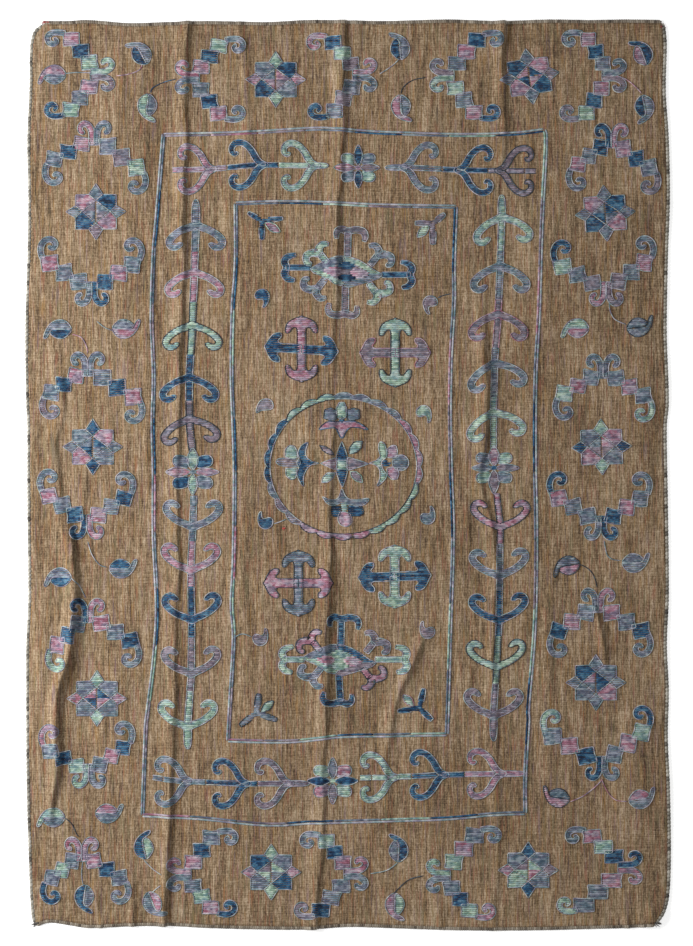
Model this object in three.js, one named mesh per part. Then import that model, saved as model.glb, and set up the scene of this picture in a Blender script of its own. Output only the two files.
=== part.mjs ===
// A suzani kilim rug: a flat-woven wool ground laid out on the floor, with an overcast
// woollen edging worked round its four sides.
// Millimetres, +Z up. X runs across the rug and Y along its length. The origin is on the
// floor, under the middle of the rug.

import * as THREE from 'three';

// Driving sizes
const rugWidth = 1262;
const rugLength = 1780;
const clothThickness = 2.5;
const edgingWidth = 6;
const edgingThickness = 4.5;
const pieceGap = 0.3;

// Half sizes of the cloth alone, inside its edging
const clothHalfWidth = rugWidth / 2 - edgingWidth - pieceGap;
const clothHalfLength = rugLength / 2 - edgingWidth - pieceGap;

// How far each side edge lies inside the widest line, at places along the length.
// The top left corner is rounded and the bottom right corner is drawn in.
const sideInsets = [
  { y: -884, left: 15, right: 25 },
  { y: -860, left: 12, right: 12 },
  { y: -830, left: 10, right: 4 },
  { y: -750, left: 7, right: 0 },
  { y: -610, left: 3, right: 2 },
  { y: -510, left: 2, right: 6 },
  { y: -420, left: 2, right: 4 },
  { y: -330, left: 2, right: 8 },
  { y: -235, left: 6, right: 4 },
  { y: -50, left: 4, right: 6 },
  { y: 95, left: 4, right: 8 },
  { y: 140, left: 2, right: 4 },
  { y: 280, left: 0, right: 8 },
  { y: 420, left: 4, right: 6 },
  { y: 540, left: 6, right: 2 },
  { y: 655, left: 4, right: 4 },
  { y: 750, left: 8, right: 10 },
  { y: 842, left: 10, right: 8 },
  { y: 868, left: 17, right: 10 },
  { y: 884, left: 31, right: 12 },
];

// How far each end edge lies inside the longest line, at places across the width
const endInsets = [
  { x: -625, bottom: 3, top: 3 },
  { x: -586, bottom: 15, top: 3 },
  { x: -547, bottom: 11, top: 3 },
  { x: -508, bottom: 5, top: 1 },
  { x: -430, bottom: 8, top: 7 },
  { x: -352, bottom: 9, top: 5 },
  { x: -274, bottom: 5, top: 3 },
  { x: -156, bottom: 2, top: 5 },
  { x: -78, bottom: 2, top: 1 },
  { x: 0, bottom: 7, top: 2 },
  { x: 78, bottom: 5, top: 3 },
  { x: 195, bottom: 1, top: 0 },
  { x: 297, bottom: 0, top: 3 },
  { x: 391, bottom: 1, top: 0 },
  { x: 469, bottom: 3, top: 1 },
  { x: 547, bottom: 5, top: 0 },
  { x: 625, bottom: 9, top: 1 },
];

// The main folds, each a soft rib whose crest wanders along the rug. The right-hand flank
// is the steep one, as the cloth has slumped that way. Sorted from left to right.
const folds = [
  // Left pleat
  {
    leftFlank: 26,
    rightFlank: 12,
    crest: [
      { y: -884, x: -560, height: 0 },
      { y: -651, x: -578, height: 0 },
      { y: -596, x: -574, height: 7 },
      { y: -537, x: -567, height: 11 },
      { y: -479, x: -569, height: 14 },
      { y: -430, x: -567, height: 16 },
      { y: -361, x: -549, height: 18 },
      { y: -283, x: -537, height: 18 },
      { y: -205, x: -533, height: 16 },
      { y: -137, x: -537, height: 8 },
      { y: -68, x: -552, height: 3 },
      { y: 88, x: -560, height: 3 },
      { y: 186, x: -560, height: 0 },
      { y: 884, x: -560, height: 0 },
    ],
  },
  // Left rib
  {
    leftFlank: 26,
    rightFlank: 12,
    crest: [
      { y: -884, x: -357, height: 9 },
      { y: -694, x: -352, height: 8 },
      { y: -596, x: -346, height: 5 },
      { y: -479, x: -342, height: 4 },
      { y: -322, x: -338, height: 3 },
      { y: -166, x: -334, height: 3 },
      { y: 49, x: -334, height: 3 },
      { y: 264, x: -328, height: 7 },
      { y: 440, x: -322, height: 8 },
      { y: 635, x: -317, height: 8 },
      { y: 884, x: -315, height: 9 },
    ],
  },
  // Middle rib
  {
    leftFlank: 30,
    rightFlank: 13,
    crest: [
      { y: -884, x: -64, height: 8 },
      { y: -733, x: -51, height: 4 },
      { y: -557, x: -49, height: 4 },
      { y: -440, x: -49, height: 9 },
      { y: -322, x: -45, height: 10 },
      { y: -244, x: -39, height: 6 },
      { y: -88, x: -37, height: 4 },
      { y: 10, x: -33, height: 5 },
      { y: 147, x: -31, height: 2 },
      { y: 283, x: -29, height: 4 },
      { y: 440, x: -25, height: 9 },
      { y: 576, x: -20, height: 8 },
      { y: 694, x: -16, height: 10 },
      { y: 811, x: -14, height: 10 },
      { y: 884, x: -14, height: 9 },
    ],
  },
  // Slanting crease
  {
    leftFlank: 22,
    rightFlank: 14,
    crest: [
      { y: -884, x: 66, height: 0 },
      { y: -703, x: 66, height: 0 },
      { y: -635, x: 74, height: 3 },
      { y: -518, x: 78, height: 3 },
      { y: -440, x: 88, height: 5 },
      { y: -391, x: 109, height: 6 },
      { y: -332, x: 143, height: 5 },
      { y: -270, x: 160, height: 0 },
      { y: 884, x: 150, height: 0 },
    ],
  },
  // Right rib
  {
    leftFlank: 24,
    rightFlank: 13,
    crest: [
      { y: -884, x: 287, height: 2 },
      { y: -635, x: 293, height: 2 },
      { y: -518, x: 285, height: 3 },
      { y: -401, x: 277, height: 3 },
      { y: -283, x: 279, height: 4 },
      { y: -186, x: 281, height: 7 },
      { y: -107, x: 277, height: 6 },
      { y: -49, x: 262, height: 4 },
      { y: 18, x: 254, height: 6 },
      { y: 68, x: 260, height: 8 },
      { y: 147, x: 264, height: 9 },
      { y: 244, x: 260, height: 7 },
      { y: 330, x: 260, height: 1 },
      { y: 537, x: 290, height: 1 },
      { y: 674, x: 305, height: 3 },
      { y: 752, x: 303, height: 7 },
      { y: 811, x: 297, height: 9 },
      { y: 884, x: 297, height: 9 },
    ],
  },
  // Short right crease
  {
    leftFlank: 20,
    rightFlank: 12,
    crest: [
      { y: -884, x: 500, height: 0 },
      { y: -400, x: 500, height: 0 },
      { y: -342, x: 494, height: 5 },
      { y: -283, x: 487, height: 5 },
      { y: -225, x: 485, height: 0 },
      { y: 884, x: 485, height: 0 },
    ],
  },
];

// Low swells between the folds, where the cloth doesn't quite reach the floor
const swells = [
  { x: -440, y: 640, halfWidth: 90, halfLength: 260, height: 4 },
  { x: -455, y: 130, halfWidth: 85, halfLength: 330, height: 3.5 },
  { x: -440, y: -420, halfWidth: 80, halfLength: 300, height: 4 },
  { x: -180, y: 560, halfWidth: 100, halfLength: 320, height: 4 },
  { x: -185, y: -30, halfWidth: 110, halfLength: 300, height: 3.5 },
  { x: -200, y: -620, halfWidth: 110, halfLength: 270, height: 4 },
  { x: 130, y: 610, halfWidth: 100, halfLength: 280, height: 3.5 },
  { x: 110, y: -60, halfWidth: 110, halfLength: 250, height: 3 },
  { x: 175, y: -640, halfWidth: 80, halfLength: 250, height: 4 },
  { x: 410, y: 560, halfWidth: 90, halfLength: 330, height: 4 },
  { x: 390, y: 20, halfWidth: 90, halfLength: 260, height: 3.5 },
  { x: 410, y: -600, halfWidth: 80, halfLength: 260, height: 4 },
  { x: 572, y: 120, halfWidth: 50, halfLength: 240, height: 3 },
  { x: 560, y: -560, halfWidth: 55, halfLength: 220, height: 3 },
  { x: -600, y: -420, halfWidth: 30, halfLength: 260, height: 4 },
  { x: 596, y: -862, halfWidth: 34, halfLength: 44, height: 9 },
];

// How steeply a table's values change at row i. They are level at the first and last rows.
function slopeAtRow(rows, i, along, field) {
  if (i === 0 || i === rows.length - 1) {
    return 0;
  }
  return (rows[i + 1][field] - rows[i - 1][field]) / (rows[i + 1][along] - rows[i - 1][along]);
}

// A value from a table of rows at the place "at" along the field "along". One smooth curve
// passes through all rows, so that creases and edges wander without kinks.
function fromTable(rows, along, at, field) {
  const place = Math.min(Math.max(at, rows[0][along]), rows[rows.length - 1][along]);
  const i = Math.max(0, rows.findIndex((row) => place <= row[along]) - 1);
  const low = rows[i];
  const high = rows[i + 1];
  const gap = high[along] - low[along];
  const t = (place - low[along]) / gap;
  const ease = t * t * (3 - 2 * t);
  const leaving = gap * slopeAtRow(rows, i, along, field) * t * (1 - t) ** 2;
  const arriving = gap * slopeAtRow(rows, i + 1, along, field) * t * t * (t - 1);
  return low[field] + (high[field] - low[field]) * ease + leaving + arriving;
}

// Height of one fold over the floor at a point, a raised cosine on each side of its crest
function foldHeight(fold, x, y) {
  const crestX = fromTable(fold.crest, 'y', y, 'x');
  const flank = x < crestX ? fold.leftFlank : fold.rightFlank;
  const reach = Math.abs(x - crestX) / flank;
  if (reach >= 1) {
    return 0;
  }
  const crestHeight = Math.max(0, fromTable(fold.crest, 'y', y, 'height'));
  return crestHeight * 0.5 * (1 + Math.cos(Math.PI * reach));
}

// Height of one low swell at a point
function swellHeight(swell, x, y) {
  const reach = Math.hypot((x - swell.x) / swell.halfWidth, (y - swell.y) / swell.halfLength);
  return reach < 1 ? swell.height * 0.5 * (1 + Math.cos(Math.PI * reach)) : 0;
}

// Height of the cloth's underside over the floor
function clothLift(x, y) {
  const ribs = folds.map((fold) => foldHeight(fold, x, y));
  const rises = swells.map((swell) => swellHeight(swell, x, y));
  return Math.max(...ribs) + Math.max(...rises);
}

// Rows of the cloth's mesh: evenly spaced over the middle stretch and closer together at the
// two ends, where the corners turn
const middleRows = 30;
const middleHalfLength = clothHalfLength - 84;
const endRows = [clothHalfLength - 42, clothHalfLength - 16, clothHalfLength];

function rowPlaces() {
  const places = [];
  for (let i = 0; i <= middleRows; i += 1) {
    places.push(-middleHalfLength + (2 * middleHalfLength * i) / middleRows);
  }
  return [...endRows.map((y) => -y).reverse(), ...places, ...endRows];
}

// Columns of the cloth's mesh at one row: five follow each fold, and the stretches
// between folds are shared out evenly
const columnsBetween = [2, 3, 4, 1, 1, 2, 2];

function columnPlaces(y) {
  const left = -clothHalfWidth + fromTable(sideInsets, 'y', y, 'left');
  const right = clothHalfWidth - fromTable(sideInsets, 'y', y, 'right');
  const groups = folds.map((fold) => {
    const x = fromTable(fold.crest, 'y', y, 'x');
    return [
      x - fold.leftFlank,
      x - fold.leftFlank / 2,
      x,
      x + fold.rightFlank / 2,
      x + fold.rightFlank,
    ];
  });
  groups.unshift([left]);
  groups.push([right]);
  const places = [left];
  for (let g = 1; g < groups.length; g += 1) {
    const from = groups[g - 1][groups[g - 1].length - 1];
    const to = groups[g][0];
    const between = columnsBetween[g - 1];
    for (let i = 1; i <= between; i += 1) {
      places.push(from + ((to - from) * i) / (between + 1));
    }
    places.push(...groups[g]);
  }
  return places;
}

// The end edges' waviness dies away over this length into the cloth
const endFade = 90;

// One point of the cloth's lower face from its row and column place
function clothPoint(x, rowY) {
  const end = rowY > 0 ? 'top' : 'bottom';
  const inset = fromTable(endInsets, 'x', x, end);
  const share = Math.max(0, 1 - (clothHalfLength - Math.abs(rowY)) / endFade);
  const y = rowY - Math.sign(rowY) * inset * share;
  return new THREE.Vector3(x, y, clothLift(x, y));
}

// The grid of points that the cloth and its edging share
const clothGrid = rowPlaces().map((y) => columnPlaces(y).map((x) => clothPoint(x, y)));

// A closed sheet: a lower and an upper face on the same grid, joined round the rim
function sheetGeometry(grid, thickness) {
  const rows = grid.length;
  const columns = grid[0].length;
  const positions = [];
  for (const lift of [0, thickness]) {
    for (const row of grid) {
      for (const point of row) {
        positions.push(point.x, point.y, point.z + lift);
      }
    }
  }
  const lower = (r, c) => r * columns + c;
  const upper = (r, c) => rows * columns + r * columns + c;
  const triangles = [];
  const quad = (a, b, c, d) => triangles.push(a, b, c, a, c, d);
  for (let r = 0; r < rows - 1; r += 1) {
    for (let c = 0; c < columns - 1; c += 1) {
      quad(upper(r, c), upper(r, c + 1), upper(r + 1, c + 1), upper(r + 1, c));
      quad(lower(r, c), lower(r + 1, c), lower(r + 1, c + 1), lower(r, c + 1));
    }
  }
  for (let c = 0; c < columns - 1; c += 1) {
    const last = rows - 1;
    quad(lower(0, c), lower(0, c + 1), upper(0, c + 1), upper(0, c));
    quad(lower(last, c + 1), lower(last, c), upper(last, c), upper(last, c + 1));
  }
  for (let r = 0; r < rows - 1; r += 1) {
    const last = columns - 1;
    quad(lower(r + 1, 0), lower(r, 0), upper(r, 0), upper(r + 1, 0));
    quad(lower(r, last), lower(r + 1, last), upper(r + 1, last), upper(r, last));
  }
  return solidGeometry(positions, triangles);
}

function solidGeometry(positions, triangles) {
  const geometry = new THREE.BufferGeometry();
  geometry.setAttribute('position', new THREE.Float32BufferAttribute(positions, 3));
  geometry.setIndex(triangles);
  geometry.computeVertexNormals();
  return geometry;
}

// The edging's section: a flattened round, flat underneath where it meets the floor
const edgingSides = 6;
const edgingSection = [];
for (let i = 0; i < edgingSides; i += 1) {
  const angle = (2 * Math.PI * (i + 0.5)) / edgingSides + Math.PI / 6;
  edgingSection.push({
    out: (edgingWidth / 2) * Math.cos(angle),
    up: (edgingThickness / 2) * Math.sin(angle),
  });
}
const sectionLow = Math.min(...edgingSection.map((corner) => corner.up));

// A run of edging beside a line of rim points. "outward" is the side that it lies on:
// +1 to the left of the way the line runs, -1 to the right.
function edgingGeometry(rim, outward) {
  const offset = pieceGap + edgingWidth / 2;
  const positions = [];
  rim.forEach((point, i) => {
    const before = rim[Math.max(0, i - 1)];
    const after = rim[Math.min(rim.length - 1, i + 1)];
    const along = new THREE.Vector2(after.x - before.x, after.y - before.y).normalize();
    const side = new THREE.Vector2(-along.y, along.x).multiplyScalar(outward);
    for (const corner of edgingSection) {
      const reach = offset + corner.out;
      positions.push(
        point.x + side.x * reach,
        point.y + side.y * reach,
        point.z + corner.up - sectionLow,
      );
    }
  });
  const triangles = [];
  const quad = (a, b, c, d) => triangles.push(...(outward > 0 ? [a, b, c, a, c, d] : [a, c, b, a, d, c]));
  const corner = (ring, k) => ring * edgingSides + (k % edgingSides);
  for (let ring = 0; ring < rim.length - 1; ring += 1) {
    for (let k = 0; k < edgingSides; k += 1) {
      quad(corner(ring, k), corner(ring, k + 1), corner(ring + 1, k + 1), corner(ring + 1, k));
    }
  }
  const last = rim.length - 1;
  for (let k = 1; k < edgingSides - 1; k += 1) {
    const cap = [corner(0, 0), corner(0, k + 1), corner(0, k)];
    const far = [corner(last, 0), corner(last, k), corner(last, k + 1)];
    triangles.push(...(outward > 0 ? [...cap, ...far] : [...cap.reverse(), ...far.reverse()]));
  }
  return solidGeometry(positions, triangles);
}

// The two end runs stop short of the side runs at the corners
const cornerClearance = 1.5;

function shortened(rim) {
  const line = rim.map((point) => point.clone());
  const last = line.length - 1;
  line[0].addScaledVector(line[1].clone().sub(line[0]).normalize(), cornerClearance);
  line[last].addScaledVector(line[last - 1].clone().sub(line[last]).normalize(), cornerClearance);
  return line;
}

const groundWool = new THREE.MeshStandardMaterial({ color: 0x83725f, roughness: 0.95, metalness: 0 });
const edgingWool = new THREE.MeshStandardMaterial({ color: 0xa39f94, roughness: 0.95, metalness: 0 });

const leftRim = clothGrid.map((row) => row[0]);
const rightRim = clothGrid.map((row) => row[row.length - 1]);
const bottomRim = clothGrid[0];
const topRim = clothGrid[clothGrid.length - 1];

const rug = new THREE.Group();
const pieces = [
  { name: 'kilim_panel', geometry: sheetGeometry(clothGrid, clothThickness), material: groundWool },
  { name: 'edging_left', geometry: edgingGeometry(leftRim, 1), material: edgingWool },
  { name: 'edging_right', geometry: edgingGeometry(rightRim, -1), material: edgingWool },
  { name: 'edging_bottom', geometry: edgingGeometry(shortened(bottomRim), -1), material: edgingWool },
  { name: 'edging_top', geometry: edgingGeometry(shortened(topRim), 1), material: edgingWool },
];
for (const piece of pieces) {
  const mesh = new THREE.Mesh(piece.geometry, piece.material);
  mesh.name = piece.name;
  rug.add(mesh);
}

export default rug;
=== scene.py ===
# %% [markdown]
# A suzani kilim rug, laid flat on a pale floor.
# The real rug is one flat-woven wool cloth, overcast with woollen yarn along its four sides
# and embroidered by hand in rows of chain stitch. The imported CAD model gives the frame: its
# panel and its four edgings say where the cloth lies. Everything that the eye reads as rug is
# made here: the cloth's folds, the overcast beads and every row of stitching.

# %% Load the frame
import math

import bpy
import numpy as np
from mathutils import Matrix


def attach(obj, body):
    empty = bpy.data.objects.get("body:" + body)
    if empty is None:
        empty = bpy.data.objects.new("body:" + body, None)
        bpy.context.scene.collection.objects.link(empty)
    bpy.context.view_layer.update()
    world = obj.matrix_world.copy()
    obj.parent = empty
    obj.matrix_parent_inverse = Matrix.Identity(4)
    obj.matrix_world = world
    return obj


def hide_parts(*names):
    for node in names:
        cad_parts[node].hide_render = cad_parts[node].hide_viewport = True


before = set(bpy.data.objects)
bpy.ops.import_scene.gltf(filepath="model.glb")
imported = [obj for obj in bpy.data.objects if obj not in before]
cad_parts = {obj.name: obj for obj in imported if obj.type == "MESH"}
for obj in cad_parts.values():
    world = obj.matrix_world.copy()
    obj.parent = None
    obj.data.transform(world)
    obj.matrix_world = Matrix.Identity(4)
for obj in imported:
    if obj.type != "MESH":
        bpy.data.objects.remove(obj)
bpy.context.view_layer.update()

random = np.random.default_rng(7)
MM = 0.001


def deselect_all():
    for thing in bpy.context.selected_objects:
        thing.select_set(False)


# %% [markdown]
# The rug was photographed from straight above with a long lens, so that its sides stay nearly
# parallel. A camera five metres up with a 97 mm lens gives that view. The frame shows 1.85 m of
# floor from top to bottom, and the rug's middle lies 3 mm right of its own and 4 mm below it.

# %% Camera
FRAME_HEIGHT = 1.848
CAMERA_HEIGHT = 5.0
SENSOR = 36.0
VIEW_CENTRE = (-0.003, 0.004)

deselect_all()
bpy.ops.object.camera_add(location=(VIEW_CENTRE[0], VIEW_CENTRE[1], CAMERA_HEIGHT), rotation=(0, 0, 0))
camera = bpy.context.object
camera.name = "camera_above"
camera.data.sensor_width = SENSOR
camera.data.lens = SENSOR * CAMERA_HEIGHT / FRAME_HEIGHT
bpy.context.scene.camera = camera
print("lens:", round(camera.data.lens, 1), "mm")

# %% [markdown]
# Cloth is a height over the floor. Each fold is a soft rib whose crest wanders along the rug,
# and between the ribs the cloth rises a little in low swells. The tables below are in
# millimetres, with a row for each place along a fold. The outline and the swells are the solid
# model's. The folds run nearly where its folds do, but stand higher in places and fall off more
# steeply on their right, for the shadows that the photo shows. A curve joins the rows smoothly.

# %% Values from tables
def from_table(rows, along, at, field):
    places = np.array([row[along] for row in rows], float)
    values = np.array([row[field] for row in rows], float)
    slopes = np.zeros(len(rows))
    slopes[1:-1] = (values[2:] - values[:-2]) / (places[2:] - places[:-2])
    at = np.clip(np.asarray(at, float), places[0], places[-1])
    low = np.clip(np.searchsorted(places, at) - 1, 0, len(places) - 2)
    high = low + 1
    gap = places[high] - places[low]
    t = (at - places[low]) / gap
    ease = t * t * (3 - 2 * t)
    leave = t * (1 - t) ** 2
    arrive = t * t * (t - 1)
    return (
        values[low] + (values[high] - values[low]) * ease
        + gap * (slopes[low] * leave + slopes[high] * arrive)
    )


def table(fields, *rows):
    names = fields.split()
    return [dict(zip(names, row)) for row in rows]


# %% The rug's sizes and its outline
RUG_WIDTH = 1262
RUG_LENGTH = 1780
CLOTH_THICKNESS = 2.5
EDGING_WIDTH = 6
PIECE_GAP = 0.3
CLOTH_HALF_WIDTH = RUG_WIDTH / 2 - EDGING_WIDTH - PIECE_GAP
CLOTH_HALF_LENGTH = RUG_LENGTH / 2 - EDGING_WIDTH - PIECE_GAP

side_insets = table(
    "y left right",
    (-884, 15, 25), (-860, 12, 12), (-830, 10, 4), (-750, 7, 0), (-610, 3, 2),
    (-510, 2, 6), (-420, 2, 4), (-330, 2, 8), (-235, 6, 4), (-50, 4, 6),
    (95, 4, 8), (140, 2, 4), (280, 0, 8), (420, 4, 6), (540, 6, 2),
    (655, 4, 4), (750, 8, 10), (842, 10, 8), (868, 17, 10), (884, 31, 12),
)
end_insets = table(
    "x bottom top",
    (-625, 3, 3), (-586, 15, 3), (-547, 11, 3), (-508, 5, 1), (-430, 8, 7),
    (-352, 9, 5), (-274, 5, 3), (-156, 2, 5), (-78, 2, 1), (0, 7, 2),
    (78, 5, 3), (195, 1, 0), (297, 0, 3), (391, 1, 0), (469, 3, 1),
    (547, 5, 0), (625, 9, 1),
)


# %% The main folds, from left to right
def fold(left_flank, right_flank, *crest):
    rows = table("y x height", *crest)
    return {"left_flank": left_flank, "right_flank": right_flank, "crest": rows}


left_pleat = fold(
    26, 11,
    (-884, -560, 0), (-700, -582, 0), (-645, -580, 8), (-596, -574, 12), (-537, -567, 16), (-479, -569, 18),
    (-430, -566, 18), (-361, -549, 18), (-283, -537, 18), (-205, -533, 17), (-137, -538, 12),
    (-100, -549, 5), (-60, -560, 4), (0, -569, 4.5), (60, -570, 5), (107, -560, 4.5), (186, -561, 4),
    (230, -562, 0),
    (884, -560, 0),
)
left_rib = fold(
    24, 9,
    (-884, -357, 12), (-694, -352, 11), (-596, -346, 8), (-479, -342, 7), (-322, -338, 6),
    (-166, -334, 6), (49, -334, 5), (264, -327, 8), (440, -323, 8.5), (635, -320, 8),
    (884, -315, 8),
)
middle_rib = fold(
    28, 9,
    (-884, -64, 10), (-733, -54, 6), (-557, -48, 6), (-440, -45, 11), (-322, -42, 12),
    (-244, -39, 10), (-88, -37, 8), (10, -34, 6), (147, -31, 3), (283, -28, 5),
    (440, -23, 9), (576, -17, 8), (694, -11, 10), (811, -8, 10.5), (884, -7, 9.5),
)
slanting_crease = fold(
    22, 12,
    (-884, 66, 0), (-703, 66, 0), (-635, 74, 4), (-518, 78, 5), (-440, 93, 7),
    (-391, 111, 8), (-332, 143, 7), (-270, 160, 0), (884, 150, 0),
)
right_rib = fold(
    24, 9,
    (-884, 287, 3), (-635, 293, 3), (-518, 288, 4), (-401, 283, 5), (-283, 284, 6),
    (-186, 285, 8), (-107, 281, 7), (-49, 266, 5), (18, 258, 8), (68, 265, 11),
    (147, 269, 12), (244, 268, 10), (330, 263, 2), (537, 290, 2), (674, 305, 4),
    (752, 303, 9), (811, 301, 10), (884, 301, 10),
)
short_right_crease = fold(
    18, 8,
    (-884, 500, 0), (-395, 505, 0), (-362, 501, 6), (-310, 492, 8), (-265, 485, 7), (-225, 485, 0),
    (884, 485, 0),
)
main_folds = [left_pleat, left_rib, middle_rib, slanting_crease, right_rib, short_right_crease]

swells = table(
    "x y half_width half_length height",
    (-440, 640, 90, 260, 4), (-455, 130, 85, 330, 3.5), (-440, -420, 80, 300, 4),
    (-180, 560, 100, 320, 4), (-185, -30, 110, 300, 3.5), (-200, -620, 110, 270, 4),
    (130, 610, 100, 280, 3.5), (110, -60, 110, 250, 3), (175, -640, 80, 250, 4),
    (410, 560, 90, 330, 4), (390, 20, 90, 260, 3.5), (410, -600, 80, 260, 4),
    (572, 120, 50, 240, 3), (560, -560, 55, 220, 3), (-600, -420, 30, 260, 4),
    (596, -862, 34, 44, 9),
)

# %% [markdown]
# The solid model stops at the main folds. A rug that was folded for storage also keeps
# smaller creases, too low to matter to anything but the light. They are added to the finer
# sheet here, each as a short rib two and a half to six millimetres high.

# %% Small creases that only the finer sheet has
small_creases = [
    fold(8, 5, (-100, -518, 0), (-80, -517, 5), (-40, -515, 5.5), (0, -517, 4.5), (14, -518, 0)),
    fold(12, 8, (20, -508, 0), (49, -506, 3), (98, -500, 0)),
    fold(14, 7, (537, 0, 0), (635, 6, 4), (733, 12, 4.5), (811, 16, 3), (884, 17, 4)),
    fold(14, 7, (-10, -72, 0), (49, -74, 4), (107, -76, 4), (176, -76, 0)),
    fold(14, 8, (-186, -2, 0), (-147, 0, 4), (-98, 0, 4), (-59, 0, 0)),
    fold(12, 7, (-884, -419, 6), (-791, -424, 5), (-733, -428, 0)),
    fold(12, 7, (-884, -482, 5), (-830, -490, 5), (-791, -500, 0)),
    fold(14, 8, (-557, -483, 0), (-488, -475, 4.5), (-449, -473, 0)),
    fold(12, 7, (-530, -546, 0), (-500, -545, 4), (-450, -543, 4), (-430, -543, 0)),
    fold(18, 12, (-703, 66, 0), (-635, 94, 3), (-576, 117, 0)),
    fold(16, 11, (540, -196, 0), (620, -198, 2.5), (740, -200, 2.5), (884, -204, 3)),
    fold(16, 11, (-884, 176, 3), (-760, 170, 2.5), (-640, 168, 0)),
    fold(14, 8, (180, 402, 0), (300, 396, 2.5), (420, 392, 3), (560, 400, 0)),
    fold(14, 8, (-225, 404, 0), (-205, 403, 4), (-180, 403, 0)),
    fold(18, 12, (-560, 398, 0), (-420, 392, 3), (-250, 396, 2.5), (-120, 402, 0)),
    fold(16, 11, (-400, -196, 0), (-280, -200, 2.5), (-120, -204, 2.5), (0, -206, 0)),
    fold(14, 7, (-140, 232, 0), (-110, 234, 4.5), (-60, 236, 4.5), (-40, 238, 0)),
    fold(16, 9, (280, -228, 0), (380, -232, 2.5), (520, -230, 3), (700, -226, 0)),
    fold(16, 9, (-120, -385, 0), (0, -388, 2.5), (240, -390, 3), (420, -384, 2.5), (600, -380, 0)),
    fold(12, 7, (-884, 578, 5), (-866, 572, 6), (-845, 566, 0)),
    fold(12, 7, (-884, 548, 5), (-866, 544, 5), (-850, 540, 0)),
]


SHORT_BEND = 1.6
SHORT_BEND_PACE = 19
LONG_BEND = 1.9
LONG_BEND_PACE = 43
USUAL_CREST = 0.86
CREST_CHANGE = 0.16
SHORT_CHANGE_PACE = 31
LONG_CHANGE_PACE = 73


def crest_place(ridge, y):
    """The crest bends a millimetre or two every few centimetres. The flanks' widths set the phases."""
    short_bend = SHORT_BEND * np.sin(y / SHORT_BEND_PACE + ridge["left_flank"])
    long_bend = LONG_BEND * np.sin(y / LONG_BEND_PACE + 2 * ridge["right_flank"])
    return from_table(ridge["crest"], "y", y, "x") + (short_bend + long_bend)


def fold_height(ridge, x, y):
    crest_x = crest_place(ridge, y)
    height = np.maximum(from_table(ridge["crest"], "y", y, "height"), 0)
    short_change = np.sin(y / SHORT_CHANGE_PACE + 3 * ridge["right_flank"])
    long_change = np.sin(y / LONG_CHANGE_PACE + ridge["left_flank"])
    height = height * (USUAL_CREST + CREST_CHANGE * short_change * long_change)
    flank = np.where(x < crest_x, ridge["left_flank"], ridge["right_flank"])
    reach = np.clip(np.abs(x - crest_x) / flank, 0, 1)
    return height * 0.5 * (1 + np.cos(np.pi * reach))


def crease_height(ridge, x, y):
    first = ridge["crest"][0]["y"]
    last = ridge["crest"][-1]["y"]
    inside = (y >= first) & (y <= last)
    return np.where(inside, fold_height(ridge, x, y), 0)


def swell_height(swell, x, y):
    across = (x - swell["x"]) / swell["half_width"]
    along = (y - swell["y"]) / swell["half_length"]
    reach = np.clip(np.hypot(across, along), 0, 1)
    return swell["height"] * 0.5 * (1 + np.cos(np.pi * reach))


# %% [markdown]
# No hand-woven cloth lies dead flat. Its tension changes every few centimetres, which leaves
# a cockle of up to two millimetres, longer along the rug than across it. Each wave is a sine
# across the rug times one along it. Sums of such waves, of unlike lengths and with seeded
# phases, give that without a pattern.

# %% Cockle of the cloth
COCKLE = 1.3
RIPPLE = 0.9
LAST_PHASE = 6.28
FULL_TURN = 6.283
WAVE_BEND = 0.6
WAVE_BEND_PACE = 170
WAVE_SOFTNESS = 2.2


def seeded_waves(count, across, along):
    """Lengths across and along the rug, each between two limits, and two phases."""
    return [
        (random.uniform(*across), random.uniform(*along), *random.uniform(0, LAST_PHASE, 2))
        for _ in range(count)
    ]


cockle_waves = seeded_waves(9, (28, 95), (120, 420))
ripple_waves = seeded_waves(7, (14, 26), (110, 300))


def waves_together(waves, x, y):
    total = np.zeros(np.shape(x))
    for across, along, phase_x, phase_y in waves:
        bend = WAVE_BEND * np.sin(y / WAVE_BEND_PACE + phase_y)
        across_wave = np.sin(x * FULL_TURN / across + phase_x + bend)
        total += across_wave * np.sin(y * FULL_TURN / along + phase_y)
    return 0.5 + 0.5 * np.tanh(total / WAVE_SOFTNESS)


def cockle(x, y):
    return COCKLE * waves_together(cockle_waves, x, y) + RIPPLE * waves_together(ripple_waves, x, y)


def cloth_lift(x, y):
    x = np.asarray(x, float)
    y = np.asarray(y, float)
    ribs = np.max([fold_height(ridge, x, y) for ridge in main_folds], axis=0)
    creases = np.max([crease_height(ridge, x, y) for ridge in small_creases], axis=0)
    rises = np.max([swell_height(swell, x, y) for swell in swells], axis=0)
    return ribs + creases + rises + cockle(x, y)


def cloth_top(x, y):
    return cloth_lift(x, y) + CLOTH_THICKNESS


# %% [markdown]
# The cloth itself starts as one grid primitive. Its points are then moved in code: its columns gather on the
# folds, where the surface turns fastest, and its four sides follow the rug's uneven outline. Solidify gives
# it the thickness of the weave, downwards, so that the face that carries the stitches stays exactly where the
# height says.

# %% Rows and columns of the cloth's grid
ROWS = 132
COLUMNS_ON_LEFT_FLANK = 8
COLUMNS_ON_RIGHT_FLANK = 7
COLUMN_SPACING = 4.9
ROW_CROWDING = 1.25
END_FADE = 90


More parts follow.
